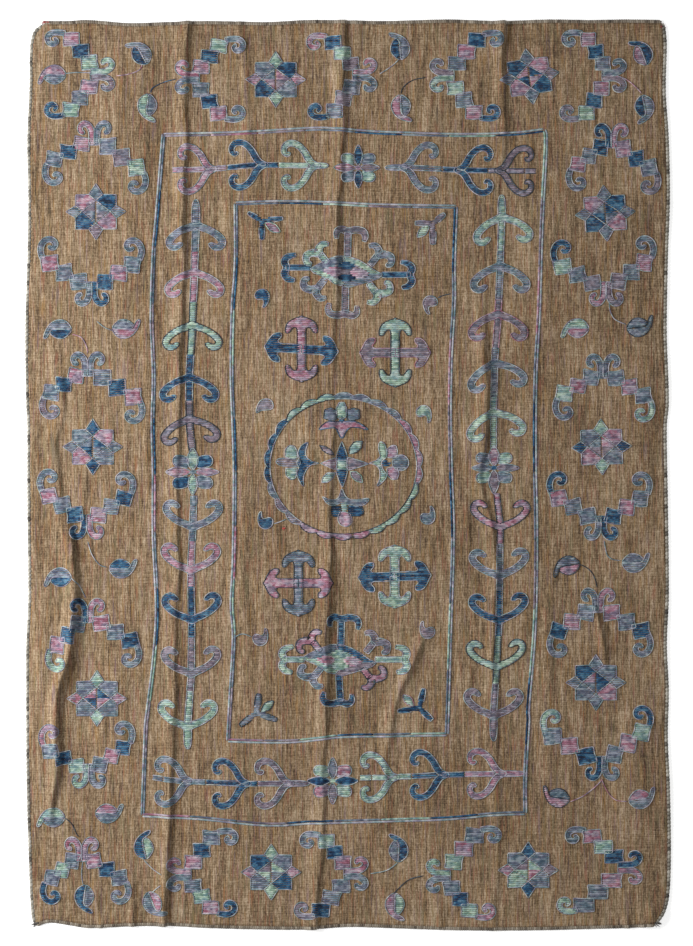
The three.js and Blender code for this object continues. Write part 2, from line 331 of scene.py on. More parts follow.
def column_places(y):
    places = [-CLOTH_HALF_WIDTH + float(from_table(side_insets, "y", y, "left"))]
    right = CLOTH_HALF_WIDTH - float(from_table(side_insets, "y", y, "right"))
    counts = iter(columns_between)
    for ridge in main_folds:
        crest = float(crest_place(ridge, y))
        start = crest - ridge["left_flank"]
        places.extend(np.linspace(places[-1], start, next(counts) + 1)[1:])
        places.extend(np.linspace(start, crest, COLUMNS_ON_LEFT_FLANK + 1)[1:])
        places.extend(np.linspace(crest, crest + ridge["right_flank"], COLUMNS_ON_RIGHT_FLANK + 1)[1:])
    places.extend(np.linspace(places[-1], right, next(counts) + 1)[1:])
    return places


def gaps_between_folds():
    at = -CLOTH_HALF_WIDTH
    for ridge in main_folds:
        crest = ridge["crest"][len(ridge["crest"]) // 2]["x"]
        yield max(2, round((crest - ridge["left_flank"] - at) / COLUMN_SPACING))
        at = crest + ridge["right_flank"]
    yield max(2, round((CLOTH_HALF_WIDTH - at) / COLUMN_SPACING))


columns_between = list(gaps_between_folds())


def end_shift(x, row_y):
    top = from_table(end_insets, "x", x, "top")
    bottom = from_table(end_insets, "x", x, "bottom")
    inset = np.where(row_y > 0, top, bottom)
    share = np.maximum(0, 1 - (CLOTH_HALF_LENGTH - np.abs(row_y)) / END_FADE)
    return -np.sign(row_y) * inset * share


row_ys = CLOTH_HALF_LENGTH * np.sin(np.linspace(-1, 1, ROWS) * ROW_CROWDING) / math.sin(ROW_CROWDING)
grid_x = np.array([column_places(y) for y in row_ys])
grid_y = np.repeat(row_ys[:, None], grid_x.shape[1], axis=1)
grid_y = grid_y + end_shift(grid_x, grid_y)

# %% Make the cloth
deselect_all()
bpy.ops.mesh.primitive_grid_add(x_subdivisions=grid_x.shape[1] - 1, y_subdivisions=ROWS - 1, size=1)
panel = bpy.context.object
panel.name = "kilim_cloth"
panel.data.name = "kilim_cloth"
panel_points = np.stack([grid_x, grid_y, cloth_top(grid_x, grid_y)], axis=-1).reshape(-1, 3) * MM
panel.data.vertices.foreach_set("co", panel_points.ravel())
panel.data.update()
thickness = panel.modifiers.new("weave_thickness", "SOLIDIFY")
thickness.thickness = CLOTH_THICKNESS * MM
thickness.offset = -1
bpy.ops.object.modifier_apply(modifier=thickness.name)
bpy.ops.object.shade_smooth()
print("cloth:", len(panel.data.polygons), "faces")

# %% [markdown]
# Suzani embroidery is chain stitch and couched wool, worked in level rows that fill a drawn
# shape, with one more row round its edge. A painted picture of it would lie flat in the light.
# Here each row is a real raised thread: a run of stations with a place, a half width, a height
# and a tone. All runs of one colour are gathered first and made into one mesh at the end.

# %% A pile of threads of one colour
STITCH = 2.8
EDGE_STITCH = 3.7
SUNK = 0.7
DIP = 0.8
STEADY_WIDTH = 0.92
CHANGING_WIDTH = 0.08
END_WIDTH = 0.6
END_HEIGHT = 0.45


class ThreadPile:
    """All runs of thread of one colour: their places on the rug, sizes and tones."""

    def __init__(self):
        self.runs = []

    def lay(self, places, half_width, height, tones, sides=None):
        places = np.asarray(places, float)
        count = len(places)
        if count < 2:
            return
        if sides is None:
            along = np.gradient(places, axis=0)
            along /= np.maximum(np.hypot(along[:, 0], along[:, 1]), 1e-6)[:, None]
            sides = np.stack([-along[:, 1], along[:, 0]], axis=1)
        half_width = np.broadcast_to(half_width, count).copy()
        height = np.broadcast_to(height, count).copy()
        pulse = np.where(np.arange(count) % 2 == 0, 1.0, DIP)
        half_width = half_width * (STEADY_WIDTH + CHANGING_WIDTH * pulse)
        height = height * pulse
        half_width[[0, -1]] *= END_WIDTH
        height[[0, -1]] *= END_HEIGHT
        self.runs.append((places, sides, half_width, height, np.broadcast_to(tones, count)))

    def count(self):
        return sum(len(run[0]) for run in self.runs)


thread_colours = ["navy", "mint", "slate", "lilac", "rose", "pale", "dark", "red"]
piles = {colour: ThreadPile() for colour in thread_colours}


# %% Lines and shapes on the rug, in millimetres
def resampled(points, step, closed=False):
    points = np.asarray(points, float)
    if closed:
        points = np.vstack([points, points[:1]])
    lengths = np.hypot(*np.diff(points, axis=0).T)
    reach = np.concatenate([[0], np.cumsum(lengths)])
    count = max(2, int(round(reach[-1] / step)) + 1)
    at = np.linspace(0, reach[-1], count)
    return np.stack([np.interp(at, reach, points[:, k]) for k in (0, 1)], axis=1)


def smooth_line(points, closed=False, steps=6):
    points = np.asarray(points, float)
    if len(points) < 3:
        return points
    count = len(points)
    line = []
    for i in range(count if closed else count - 1):
        around = [(i - 1) % count, i, (i + 1) % count, (i + 2) % count]
        if not closed:
            around = [max(i - 1, 0), i, i + 1, min(i + 2, count - 1)]
        a, b, c, d = points[around]
        for t in np.arange(steps) / steps:
            square = (2 * a - 5 * b + 4 * c - d) * t ** 2
            cube = (3 * b - a - 3 * c + d) * t ** 3
            line.append(0.5 * (2 * b + (c - a) * t + square + cube))
    if not closed:
        line.append(points[-1])
    return np.array(line)


RIBBON_GROWTH = 0.7


def ribbon(centre, half_widths, steps=5):
    """A closed outline round a curved band, from its centre line and half widths."""
    widths = np.broadcast_to(half_widths, len(centre)) + RIBBON_GROWTH
    places = smooth_line(centre, steps=steps)
    widths = smooth_line(np.column_stack([widths, widths]), steps=steps)[:, 0]
    along = np.gradient(places, axis=0)
    along /= np.maximum(np.hypot(along[:, 0], along[:, 1]), 1e-6)[:, None]
    sides = np.stack([-along[:, 1], along[:, 0]], axis=1) * widths[:, None]
    return np.vstack([places + sides, (places - sides)[::-1]])


def placed(points, x=0, y=0, turn=0, scale=1.0, mirror=False):
    """Local points turned by degrees, scaled, mirrored left to right and moved to x, y."""
    points = np.asarray(points, float) * scale
    if mirror:
        points = points * (-1, 1)
    angle = math.radians(turn)
    cos = math.cos(angle)
    sin = math.sin(angle)
    across = points[:, 0] * cos - points[:, 1] * sin
    along = points[:, 0] * sin + points[:, 1] * cos
    return np.stack([across, along], axis=1) + (x, y)


# %% [markdown]
# A filled shape is worked in two steps, as by hand. First the rows: each is clipped to the
# drawn outline, and its yarn is often lighter or darker than the last, because the wool was
# dyed unevenly. Then one row of chain goes round the edge, often in a lighter or darker colour.

# %% Fill a shape with rows and edge it
ROW_PITCH = 3.8
ROW_HALF_WIDTH = 2.35
ROW_HEIGHT = 1.25
ROW_END_INSET = 0.6
ROW_WANDER = 0.16
ROW_TONES = [0.36, 0.46, 0.56, 0.66]
ROW_SIDE = [0.25, 0.97]
SHORTEST_ROW = 2
EDGE_HALF_WIDTH = 1.1
EDGE_HEIGHT = 1.7
EDGE_TONES = (0.35, 0.55)
EDGE_SPREAD = 0.3
STEM_HALF_WIDTH = 1.2
STEM_HEIGHT = 1.6
DRIFT_SPAN = 6


def level_rows(outline, pitch):
    """The stretches of level rows that lie inside a closed outline."""
    outline = np.asarray(outline, float)
    low = outline[:, 1].min()
    high = outline[:, 1].max()
    count = max(1, int(round((high - low) / pitch)))
    after = np.roll(outline, -1, axis=0)
    for k in range(count):
        y = low + (high - low) * (k + 0.5) / count
        crosses = (outline[:, 1] <= y) != (after[:, 1] <= y)
        a = outline[crosses]
        b = after[crosses]
        hits = np.sort(a[:, 0] + (y - a[:, 1]) / (b[:, 1] - a[:, 1]) * (b[:, 0] - a[:, 0]))
        for left, right in zip(hits[::2], hits[1::2]):
            if right - left > SHORTEST_ROW:
                yield y, left, right


def yarn_tones(count, base, spread=0.17, drift=0.14):
    """Tones along a yarn: a slow drift of the dye and a change at each stitch."""
    stitches = random.normal(0, spread, count // 2 + 2)
    turns = np.arange(0, count + 2 * DRIFT_SPAN, DRIFT_SPAN)
    slow = np.interp(np.arange(count), turns, random.normal(0, drift, len(turns)))
    return np.clip(base + np.repeat(stitches, 2)[:count] + slow, 0, 1)


def fill(outline, colour, height=ROW_HEIGHT):
    for y, left, right in level_rows(outline, ROW_PITCH):
        count = max(2, int(round((right - left) / STITCH)) + 1)
        xs = np.linspace(left + ROW_END_INSET, right - ROW_END_INSET, count)
        ys = y + random.normal(0, ROW_WANDER, count)
        base = random.choice(ROW_TONES)
        tones = yarn_tones(count, base)
        sides = np.tile(ROW_SIDE, (count, 1))
        piles[colour].lay(np.stack([xs, ys], axis=1), ROW_HALF_WIDTH, height, tones, sides)


def edge(outline, colour, half_width=EDGE_HALF_WIDTH, height=EDGE_HEIGHT, closed=True):
    line = resampled(outline, EDGE_STITCH, closed)
    tones = yarn_tones(len(line), random.uniform(*EDGE_TONES), EDGE_SPREAD)
    piles[colour].lay(line, half_width, height, tones)


def patch(outline, colour, edge_colour="pale"):
    fill(outline, colour)
    if edge_colour:
        edge(outline, edge_colour)


def stem(points, colour):
    edge(smooth_line(points), colour, half_width=STEM_HALF_WIDTH, height=STEM_HEIGHT, closed=False)


# %% [markdown]
# The border's main figure is a stepped zigzag. Two arms of three coloured blocks climb to a
# point, where a pair of scrolls curls outwards, and each arm ends in a scroll that curls
# inwards. It lies four ways: pointing up, down, left and right. One function draws it from a
# local frame, "out" to the side of its axis and "back" from its point, and turns the places,
# while the rows of stitches stay level as they do on the real rug.

# %% The stepped figure
upright_steps = table("out back", (25, 16), (52, 34), (79, 51))
sideways_steps = table("out back", (23.5, 19), (45.5, 36), (68.5, 54))
UPRIGHT_BLOCK = (33, 29)
SIDEWAYS_BLOCK = (33, 26)

upright_scroll = table(
    "out back half_width",
    (14, 9, 4.6), (18, 24, 5), (15, 38, 5), (6, 46, 4.8), (-4, 46, 4.6), (-11, 39, 4.4), (-9, 31, 3.8),
    (-2, 29, 3), (2, 34, 2),
)
sideways_scroll = table(
    "out back half_width",
    (11, 12, 4.3), (13, 28, 4.8), (11, 40, 4.8), (3, 47, 4.6), (-7, 44, 4.5), (-10, 35, 4.2),
    (-4, 29, 3.4), (2, 34, 2.2),
)
point_scroll = table(
    "out back half_width",
    (6, 16, 5.4), (5, 2, 5), (6, -12, 5.2), (12, -23, 5), (21, -26, 4.8), (28, -19, 4.4),
    (26, -10, 3.8), (19, -8, 2.6),
)
UPRIGHT_TILT = 9
SIDEWAYS_TILT = 3
BLOCK_WANDER = 1.3
BLOCK_TURN = 3
block_shape = [(-1, -1), (0, -1.04), (1, -1), (0.94, 0), (1, 1), (0, 0.97), (-1, 1), (-0.94, 0)]


def local_frame(pointing, x, y, side):
    """A function from (out, back) to a place on the rug, for one arm of a figure."""
    if pointing in ("up", "down"):
        back = -1 if pointing == "up" else 1
        return lambda out, behind: (x + side * out, y + back * behind)
    back = -1 if pointing == "right" else 1
    return lambda out, behind: (x + back * behind, y + side * out)


def block(x, y, width, height, colour, edge_colour, tilt):
    corners = np.array(block_shape) * (width / 2, height / 2)
    corners = corners + random.uniform(-BLOCK_WANDER, BLOCK_WANDER, corners.shape)
    patch(placed(corners, x, y, tilt + random.normal(0, BLOCK_TURN)), colour, edge_colour)


def scroll(rows, at, colour, edge_colour, start=(0, 0)):
    centre = [at(start[0] + row["out"], start[1] + row["back"]) for row in rows]
    patch(ribbon(centre, [row["half_width"] for row in rows]), colour, edge_colour)


def stepped_figure(pointing, x, y, first_arm, points, second_arm, lean):
    """Arms and points are colours in words: three blocks and a scroll, and the two scrolls.
    The lean of each arm stretches it out and back, and its blocks grow with it by half as much."""
    upright = pointing in ("up", "down")
    steps = upright_steps if upright else sideways_steps
    size = np.array(UPRIGHT_BLOCK if upright else SIDEWAYS_BLOCK, float)
    sides = (-1, 1) if upright else (1, -1)
    for side, words, point, (out, back) in zip(sides, (first_arm, second_arm), points.split(), lean):
        at = local_frame(pointing, x, y, side)
        colours = words.split()
        run, rise = np.subtract(at(1, 1), at(0, 0))
        tilt = -np.sign(run * rise) * (UPRIGHT_TILT if upright else SIDEWAYS_TILT)
        width, height = size * np.sqrt((out, back) if upright else (back, out))
        for step, colour in zip(steps, colours):
            place = at(step["out"] * out, step["back"] * back)
            block(*place, width, height, colour, "pale", tilt)
        start = (steps[-1]["out"] * out, steps[-1]["back"] * back)
        scroll(upright_scroll if upright else sideways_scroll, at, colours[3], "pale", start)
        scroll(point_scroll, at, point, "pale")


# %% Lay the stepped figures round the border
stepped_figures = table(
    "pointing x y first_arm points second_arm lean",
    ("right", -487, 782, "mint navy rose slate", "mint lilac", "rose slate mint navy", ((1.01, .97), (1, 1))),
    ("left", -306, 776, "rose navy mint slate", "rose slate", "slate navy rose slate",
     ((.91, 1), (1.01, .99))),
    ("right", 25, 781, "lilac mint navy rose", "rose slate", "slate lilac slate navy",
     ((.93, 1), (1.02, .95))),
    ("left", 191, 780, "slate rose navy slate", "lilac mint", "mint slate rose navy",
     ((1.02, 1.12), (1.04, 1))),
    ("right", 512, 780, "slate navy rose slate", "slate lilac", "rose navy mint lilac",
     ((1.03, .79), (1.06, .87))),
    ("up", -495, 660, "rose navy slate slate", "rose slate", "slate lilac mint slate",
     ((.99, .84), (1.04, 1.18))),
    ("down", -500, 361, "slate slate rose slate", "slate navy", "navy rose slate slate",
     ((1.04, 1.03), (1, .98))),
    ("up", -508, 209, "rose navy slate lilac", "slate slate", "slate navy rose slate",
     ((.9, .93), (1.12, 1.11))),
    ("down", -510, -94, "navy slate rose slate", "navy rose", "rose slate navy slate",
     ((.93, 1.05), (.92, .96))),
    ("up", -508, -272, "slate navy rose mint", "navy rose", "rose slate navy slate",
     ((.75, 1.17), (1.04, 1))),
    ("down", -506, -580, "mint navy slate rose", "mint slate", "slate rose navy slate",
     ((.94, .82), (.85, .94))),
    ("up", -520, -738, "slate mint slate navy", "rose rose", "rose navy slate slate",
     ((.73, .94), (.93, .93))),
    ("left", -322, -780, "rose navy slate slate", "rose slate", "slate mint rose navy",
     ((1.06, 1.03), (.94, 1))),
    ("right", 8, -778, "rose navy mint slate", "rose slate", "slate slate navy lilac",
     ((.94, .93), (1.03, 1.13))),
    ("left", 184, -782, "mint rose slate slate", "mint slate", "slate navy mint rose",
     ((1.15, 1.17), (1, .97))),
    ("right", 543, -766, "navy mint rose slate", "navy rose", "rose slate slate mint",
     ((.9, 1.24), (1.06, 1.54))),
    ("up", 514, 655, "navy slate rose slate", "navy rose", "rose navy slate lilac",
     ((.83, .95), (.93, 1.08))),
    ("down", 504, 361, "lilac slate mint navy", "rose lilac", "lilac slate rose slate",
     ((1.08, .9), (.94, 1.06))),
    ("up", 498, 205, "slate rose mint slate", "slate slate", "slate rose slate mint",
     ((.95, .9), (.98, .97))),
    ("down", 494, -96, "slate slate rose navy", "slate navy", "navy rose slate slate",
     ((1.05, 1), (.97, .98))),
    ("up", 488, -252, "slate rose navy slate", "slate rose", "rose slate navy slate",
     ((.97, 1.02), (1.07, 1))),
    ("down", 496, -565, "navy rose slate mint", "navy slate", "slate rose mint navy",
     ((1.23, 1.09), (.97, 1.24))),
)
for row in stepped_figures:
    stepped_figure(**row)
print("stepped figures:", len(stepped_figures))

# %% [markdown]
# Between the stepped figures lies an eight-pointed star: four squarish petals on the
# diagonals, four small kites that point up, down, left and right, and a windmill of four
# triangles inside. Its twelve parts are drawn once, and each star has its own colours.

# %% The stars
star_parts = {
    "top": [(0, 55), (14, 34), (0, 22), (-14, 34)],
    "right": [(59, 0), (40, 12), (28, 1), (40, -12)],
    "bottom": [(0, -55), (-14, -34), (0, -22), (14, -34)],
    "left": [(-59, 0), (-40, -12), (-27, 1), (-40, 12)],
    "top_right": [(14, 34), (40, 33), (40, 12), (28, 1), (0, 22)],
    "bottom_right": [(40, -12), (40, -34), (14, -34), (0, -22), (28, 1)],
    "bottom_left": [(-14, -34), (-40, -34), (-40, -12), (-27, 1), (0, -22)],
    "top_left": [(-40, 12), (-40, 33), (-14, 34), (0, 22), (-27, 1)],
    "mill_a": [(0, 22), (28, 1), (0, 0)],
    "mill_b": [(28, 1), (0, -22), (0, 0)],
    "mill_c": [(0, -22), (-27, 1), (0, 0)],
    "mill_d": [(-27, 1), (0, 22), (0, 0)],
}


def star(x, y, turn, colours):
    """Colours in words: the four points from the top round, the four petals, then the windmill."""
    for (part, outline), colour in zip(star_parts.items(), colours.split()):
        patch(placed(outline, x, y, turn), colour, None if part.startswith("mill") else "pale")


stars = table(
    "x y turn colours",
    (-141, 772, 0, "mint rose mint rose navy slate navy slate rose lilac rose slate"),
    (354, 778, 8, "slate lilac slate slate rose navy rose navy navy rose navy rose"),
    (-492, 514, 0, "slate slate lilac slate navy rose navy rose slate lilac slate lilac"),
    (502, 511, 4, "slate slate slate slate navy rose navy rose navy slate navy slate"),
    (-498, 55, 0, "navy slate navy slate rose slate rose slate navy slate navy slate"),
    (495, 55, 2, "mint navy mint navy rose slate rose slate rose lilac lilac slate"),
    (-490, -436, 0, "mint rose mint rose slate slate slate slate navy rose navy rose"),
    (484, -405, 0, "slate slate slate slate slate rose slate navy navy navy slate rose"),
    (-150, -775, 0, "mint rose mint rose slate navy slate navy mint slate mint lilac"),
    (352, -771, 0, "navy lilac navy rose slate slate mint slate mint rose mint lilac"),
)
for row in stars:
    star(**row)

# %% [markdown]
# A boteh is a bent teardrop. Here each has an upper and a lower part, a tail that bends away
# and, on most, a thin stem. The outline is a smooth curve through a few points.

# %% The bent teardrops
teardrop_upper = [
    (22, -2), (17, 9), (8, 16), (-4, 17), (-16, 12), (-25, 2), (-31, -11), (-32, -20), (-25, -17),
    (-20, -7), (-14, -1), (4, -1),
]
teardrop_lower = [(22, -3), (4, -2), (-14, -2), (-20, -8), (-12, -16), (0, -20), (12, -16)]


def teardrop(x, y, turn, mirror, upper, lower, stem_colour, stem_line, edge_colour):
    for part, colour in ((teardrop_upper, upper), (teardrop_lower, lower)):
        outline = smooth_line(placed(part, x, y, turn, mirror=mirror), closed=True, steps=4)
        patch(outline, colour, edge_colour)
    if stem_line:
        stem([(x + dx, y + dy) for dx, dy in stem_line], stem_colour)


teardrops = table(
    "x y turn mirror upper lower stem_colour stem_line edge_colour",
    (-573, 783, 0, False, "rose", "slate", "pale", [(22, 1), (45, 3), (74, 2)], "pale"),
    (-402, 822, -59, False, "slate", "navy", "rose", [(1, -20), (-6, -32), (-28, -40), (-50, -43)], "pale"),
    (-393, 722, 85, False, "mint", "slate", "navy", [(8, 24), (12, 34), (34, 45), (58, 51)], "pale"),
    (103, 833, -84, False, "slate", "navy", "pale", [(-3, -21), (-18, -35), (-41, -50)], "pale"),
    (102, 720, 95, False, "rose", "slate", "dark", [(1, 24), (6, 37), (23, 50), (50, 56)], "pale"),
    (577, 822, -68, False, "navy", "rose", None, None, "pale"),
    (580, 720, -80, True, "slate", "navy", "rose", [(-7, 25), (-18, 37), (-38, 53), (-60, 59)], "pale"),
    (-562, 286, 0, False, "slate", "navy", "rose", [(24, -11), (42, -18), (52, -36), (54, -48)], "pale"),
    (-438, 284, 180, False, "rose", "slate", "pale", [(-22, -2), (-37, 4), (-52, 16)], "pale"),
    (-561, -198, 0, False, "slate", "navy", "pale", [(21, -2), (36, -17), (49, -42)], "pale"),
    (-444, -184, 180, False, "slate", "navy", "pale", [(-26, 4), (-41, 9), (-56, 29), (-64, 54)], "pale"),
    (-575, -667, 0, False, "mint", "slate", "dark", [(20, -1), (35, -13), (45, -33), (50, -39)], "pale"),
    (-471, -662, 180, False, "slate", "rose", None, None, "pale"),
    (-516, -822, 85, False, "navy", "slate", "pale", [(-1, 22), (-4, 42), (-2, 67)], "pale"),
    (-400, -728, 100, True, "navy", "mint", "pale", [(2, -24), (20, -42), (36, -52)], "pale"),
    (-383, -835, 114, False, "slate", "rose", "pale", [(-2, 17), (8, 27), (18, 35)], "pale"),
    (100, -733, -90, False, "navy", "slate", "pale", [(-2, -23), (-25, -39), (-56, -45)], "pale"),
    (90, -838, 90, False, "rose", "mint", "dark", [(-1, 21), (27, 47), (57, 56)], "pale"),
    (448, 288, 0, False, "mint", "rose", None, None, "pale"),
    (566, 287, 190, False, "slate", "slate", "pale", [(-23, 7), (-36, 12), (-48, 20), (-55, 36), (-56, 50)],
     "dark"),
    (430, -175, 10, False, "slate", "rose", "dark", [(22, 1), (36, -6), (47, -17), (53, -31), (56, -44)],
     "dark"),
    (557, -173, 182, False, "slate", "slate", "pale", [(-25, 6), (-42, 9), (-52, 19), (-57, 45)], "pale"),
    (410, -631, 170, True, "rose", "slate", "rose", [(24, -6), (48, 4), (70, 20), (86, 36)], "dark"),
    (570, -634, 190, False, "slate", "rose", "rose", [(-25, -3), (-48, 0), (-64, 17), (-75, 40)], "pale"),
)
for row in teardrops:
    teardrop(**row)
print("stars and teardrops:", len(stars), len(teardrops))

# %% [markdown]
# Four vines run between the two frames. Each is a chain of anchors: a pair of arms springs
# from the stem, bows out and curls in at its end. A flower of four petals and four lobes joins
# the halves of a vine. They point apart in the upright vines, at each other in the top one, and
# both to the right in the bottom one.

# %% The vines
tall_arm = table(
    "out back half_width",
    (0, 3, 6.5), (9, 7, 6), (27, 14.5, 5.5), (42, 25, 5.8), (51.5, 37, 6), (49, 47.5, 5.8),
    (39, 50.5, 5.3), (30, 45, 4), (28, 41, 2.5),
)
wide_arm = table(
    "out back half_width",
    (0, -12, 2.5), (5, 2, 5), (14, 10, 5.8), (28, 18, 5.4), (40, 30, 5.2), (44, 44, 5.2), (38, 55, 4.8),
    (27, 57, 4.2), (21, 50, 3.4), (26, 46, 2),
)
STEM_TAPER = 0.92
ARM_ROOT = 8
VINE_FIELDS = "x y turn colour edge"


def anchor(pointing, x, y, colour, arm, turn=0, droop=1.0, edge_colour="pale"):
    """A pair of arms on the stem. The droop stretches them back, and the turn tips them about their root."""
    left = local_frame(pointing, 0, 0, -1)
    right = local_frame(pointing, 0, 0, 1)
    centre = [left(row["out"], row["back"] * droop) for row in arm[:0:-1]]
    centre += [right(row["out"], row["back"] * droop) for row in arm]
    widths = [row["half_width"] for row in arm[:0:-1]] + [row["half_width"] for row in arm]
    patch(ribbon(placed(centre, x, y, turn), widths), colour, edge_colour)


def stem_piece(start, end, half_width, colour, edge_colour="pale"):
    start = np.asarray(start, float)
    end = np.asarray(end, float)
    along = (end - start) / np.hypot(*(end - start))
    side = np.array([-along[1], along[0]]) * half_width
    fill([start + side, end + side * STEM_TAPER, end - side * STEM_TAPER, start - side], colour)
    for one in (side, -side):
        edge([start + one, end + one * STEM_TAPER], edge_colour, closed=False)


def spear(pointing, x, y, length, half_width, colour):
    at = local_frame(pointing, x, y, 1)
    right_half = [(1, 0), (1, -0.5), (0.9, -0.75), (0.62, -0.92), (0.2, -1)]
    outline = [at(-out * half_width, back * length) for out, back in right_half]
    outline += [at(out * half_width, back * length) for out, back in reversed(right_half)]
    patch(outline, colour)


def petal(x, y, length, width, turn, colour, edge_colour="pale", root=4):
    half = width / 2
    outline = [
        (root, 0), (length * 0.35, half * 0.9), (length * 0.6, half), (length * 0.85, half * 0.55),
        (length, 0), (length * 0.85, -half * 0.55), (length * 0.6, -half), (length * 0.35, -half * 0.9),
    ]
    outline = smooth_line(placed(outline, x, y, turn), closed=True, steps=3)
    patch(outline, colour, edge_colour)


flower_lobe = [(9, 9), (8, 20), (10, 28), (20, 32), (33, 32), (39, 24), (36, 13), (23, 9)]
lobe_sides = [(1, 1), (-1, 1), (-1, -1), (1, -1)]


def flower(x, y, colours, reach, widths, lobe_size=1.0):
    """Four long petals: right, up, left, down. Then four square lobes from the upper right round,
    and the middle."""
    words = colours.split()
    for number, colour in enumerate(words[:4]):
        petal(x, y, reach[number], widths[number], 90 * number, colour)
    for sides, colour in zip(lobe_sides, words[4:8]):
        outline = np.array(flower_lobe, float) * sides * lobe_size
        patch(smooth_line(outline + (x, y), closed=True, steps=3), colour)
    patch(placed([(10, 0), (0, 7), (-10, 0), (0, -7)], x, y), words[8], None)


def vine(pointing, arm, units, finish, nose, half_width, meeting, droop=1.0):
    """A run of anchors from the first unit's point. Units are rows of x, y, turn, colour and edge.
    Between two of them the stem changes colour at the meeting, a share of the way."""
    root_shift = np.array({"up": (0, -1), "down": (0, 1), "right": (-1, 0), "left": (1, 0)}[pointing], float)
    ends = [(unit["x"], unit["y"]) for unit in units[1:]] + [finish]
    looks = [(unit["colour"], unit["edge"]) for unit in units]
    following = looks[1:] + looks[-1:]
    for unit, end, (next_colour, next_edge) in zip(units, ends, following):
        root = np.array((unit["x"], unit["y"]), float) + root_shift * ARM_ROOT
        change = root + (np.array(end, float) - root) * meeting
        stem_piece(root, change, half_width, unit["colour"], unit["edge"])
        stem_piece(change, end, half_width, next_colour, next_edge)
        anchor(pointing, unit["x"], unit["y"], unit["colour"], arm, unit["turn"], droop, unit["edge"])
    spear(pointing, units[0]["x"], units[0]["y"], nose, half_width + 0.8, units[0]["colour"])


left_upper = table(
    VINE_FIELDS,
    (-297, 491, 0, "slate", "pale"), (-300, 399, 0, "rose", "pale"), (-304, 296, 0, "mint", "dark"),
    (-310, 194, 0, "navy", "pale"), (-310, 113, 4, "lilac", "dark"),
)
left_lower = table(
    VINE_FIELDS,
    (-313, -495, 0, "mint", "pale"), (-306, -391, 1, "lilac", "pale"), (-305, -286, 1, "navy", "pale"),
    (-307, -189, 0, "rose", "pale"), (-303, -105, 0, "slate", "pale"),
)
right_upper = table(
    VINE_FIELDS,
    (300, 507, 4, "mint", "pale"), (297, 412, 0, "slate", "pale"), (293, 318, 0, "lilac", "rose"),
    (286, 222, 8, "slate", "pale"), (284, 126, 8, "mint", "pale"),
)
right_lower = table(
    VINE_FIELDS,
    (284, -473, 0, "lilac", "pale"), (290, -378, 2, "mint", "dark"), (295, -287, 2, "navy", "pale"),
    (296, -200, 2, "slate", "pale"), (297, -105, 0, "rose", "dark"),
)
vine("up", tall_arm, left_upper, (-304, 46), 47, 7, 0.56, 0.92)
vine("down", tall_arm, left_lower, (-301, -40), 40, 6.6, 0.68)
vine("up", tall_arm, right_upper, (284, 52), 40, 6.4, 0.7)
vine("down", tall_arm, right_lower, (290, -36), 46, 6.2, 0.67)
flower(-303, 6, "rose mint rose mint navy slate navy slate slate", (52, 47, 53, 45), (15, 22, 20, 18))
flower(285, 14, "lilac rose slate lilac mint slate mint slate navy", (50, 43, 44, 51), (14, 21, 14, 20), 0.9)

top_left = table(
    VINE_FIELDS,
    (-68, 604, 0, "mint", "pale"), (-170, 605, 0, "navy", "pale"), (-270, 597, 0, "rose", "pale"),
)
top_right = table(
    VINE_FIELDS,
    (114, 600, 0, "slate", "pale"), (221, 595, 0, "navy", "pale"), (300, 594, 0, "lilac", "dark"),
)
bottom_left = table(
    VINE_FIELDS,
    (-120, -602, 0, "lilac", "pale"), (-203, -602, 0, "navy", "pale"), (-315, -598, 0, "slate", "pale"),
)
bottom_right = table(
    VINE_FIELDS,
    (295, -583, 0, "rose", "pale"), (183, -585, 0, "navy", "pale"), (86, -590, 0, "mint", "pale"),
)
vine("right", wide_arm, top_left, (-343, 595), 30, 4.8, 0.63)
vine("left", wide_arm, top_right, (367, 593), 42, 4.8, 0.63)
vine("right", wide_arm, bottom_left, (-382, -590), 45, 4.8, 0.64)
vine("right", wide_arm, bottom_right, (23, -591), 52, 4.8, 0.57)
flower(20, 600, "lilac navy rose navy slate mint slate mint rose", (42, 45, 48, 40), (16, 16, 16, 16), 0.85)
flower(-30, -597, "navy slate navy lilac rose mint rose mint mint", (50, 46, 50, 46), (17, 17, 17, 17), 0.95)

# %% [markdown]
# The middle field holds two diamonds, four crosses, a wreath round a branching flower, eight
# comma leaves and a sprig in each corner. Bands such as hooks and arms are ribbons along a
# short curved line. Leaves and lenses are closed smooth curves.

# %% The diamonds
LENS_LIFT = 1.7
diamond_bands = {
    "upper_left": [(-72, 6), (-58, 14), (-38, 24), (-20, 30), (-8, 31), (-6, 18), (-19, 12), (-32, 8),
                   (-48, 2)],
    "upper_right": [(-8, 31), (4, 30), (23, 23), (40, 13), (57, 1), (71, -5), (44, -4), (18, 12), (-4, 19)],
    "lower_left": [(-72, 6), (-66, -2), (-52, -7), (-38, -14), (-24, -24), (-10, -28), (-4, -20), (-28, -9),
                   (-48, 2)],
    "lower_right": [(71, -5), (62, -13), (45, -19), (17, -27), (4, -31), (-10, -28), (-4, -20), (22, -13),
                    (44, -4)],
    "middle": [(-48, 2), (-32, 8), (-19, 12), (-2, 19), (18, 12), (44, -4), (22, -13), (-2, -20), (-28, -9)],
}
diamond_lenses = {
    "left": [(-48, 2), (-32, 8), (-17, 8), (-9, 1), (-16, -8), (-30, -8)],
    "right": [(5, 0), (15, 6), (30, 5), (45, -4), (30, -13), (14, -10)],
    "top": [(-20, 12), (-10, 18), (3, 19), (18, 12), (8, 6), (-8, 6)],
    "bottom": [(-20, -12), (-10, -6), (6, -6), (19, -12), (8, -18), (-8, -19)],
}
side_hook = [(19, 25), (4, 21), (-3, 12), (1, 0), (-3, -12), (4, -22), (17, -25)]
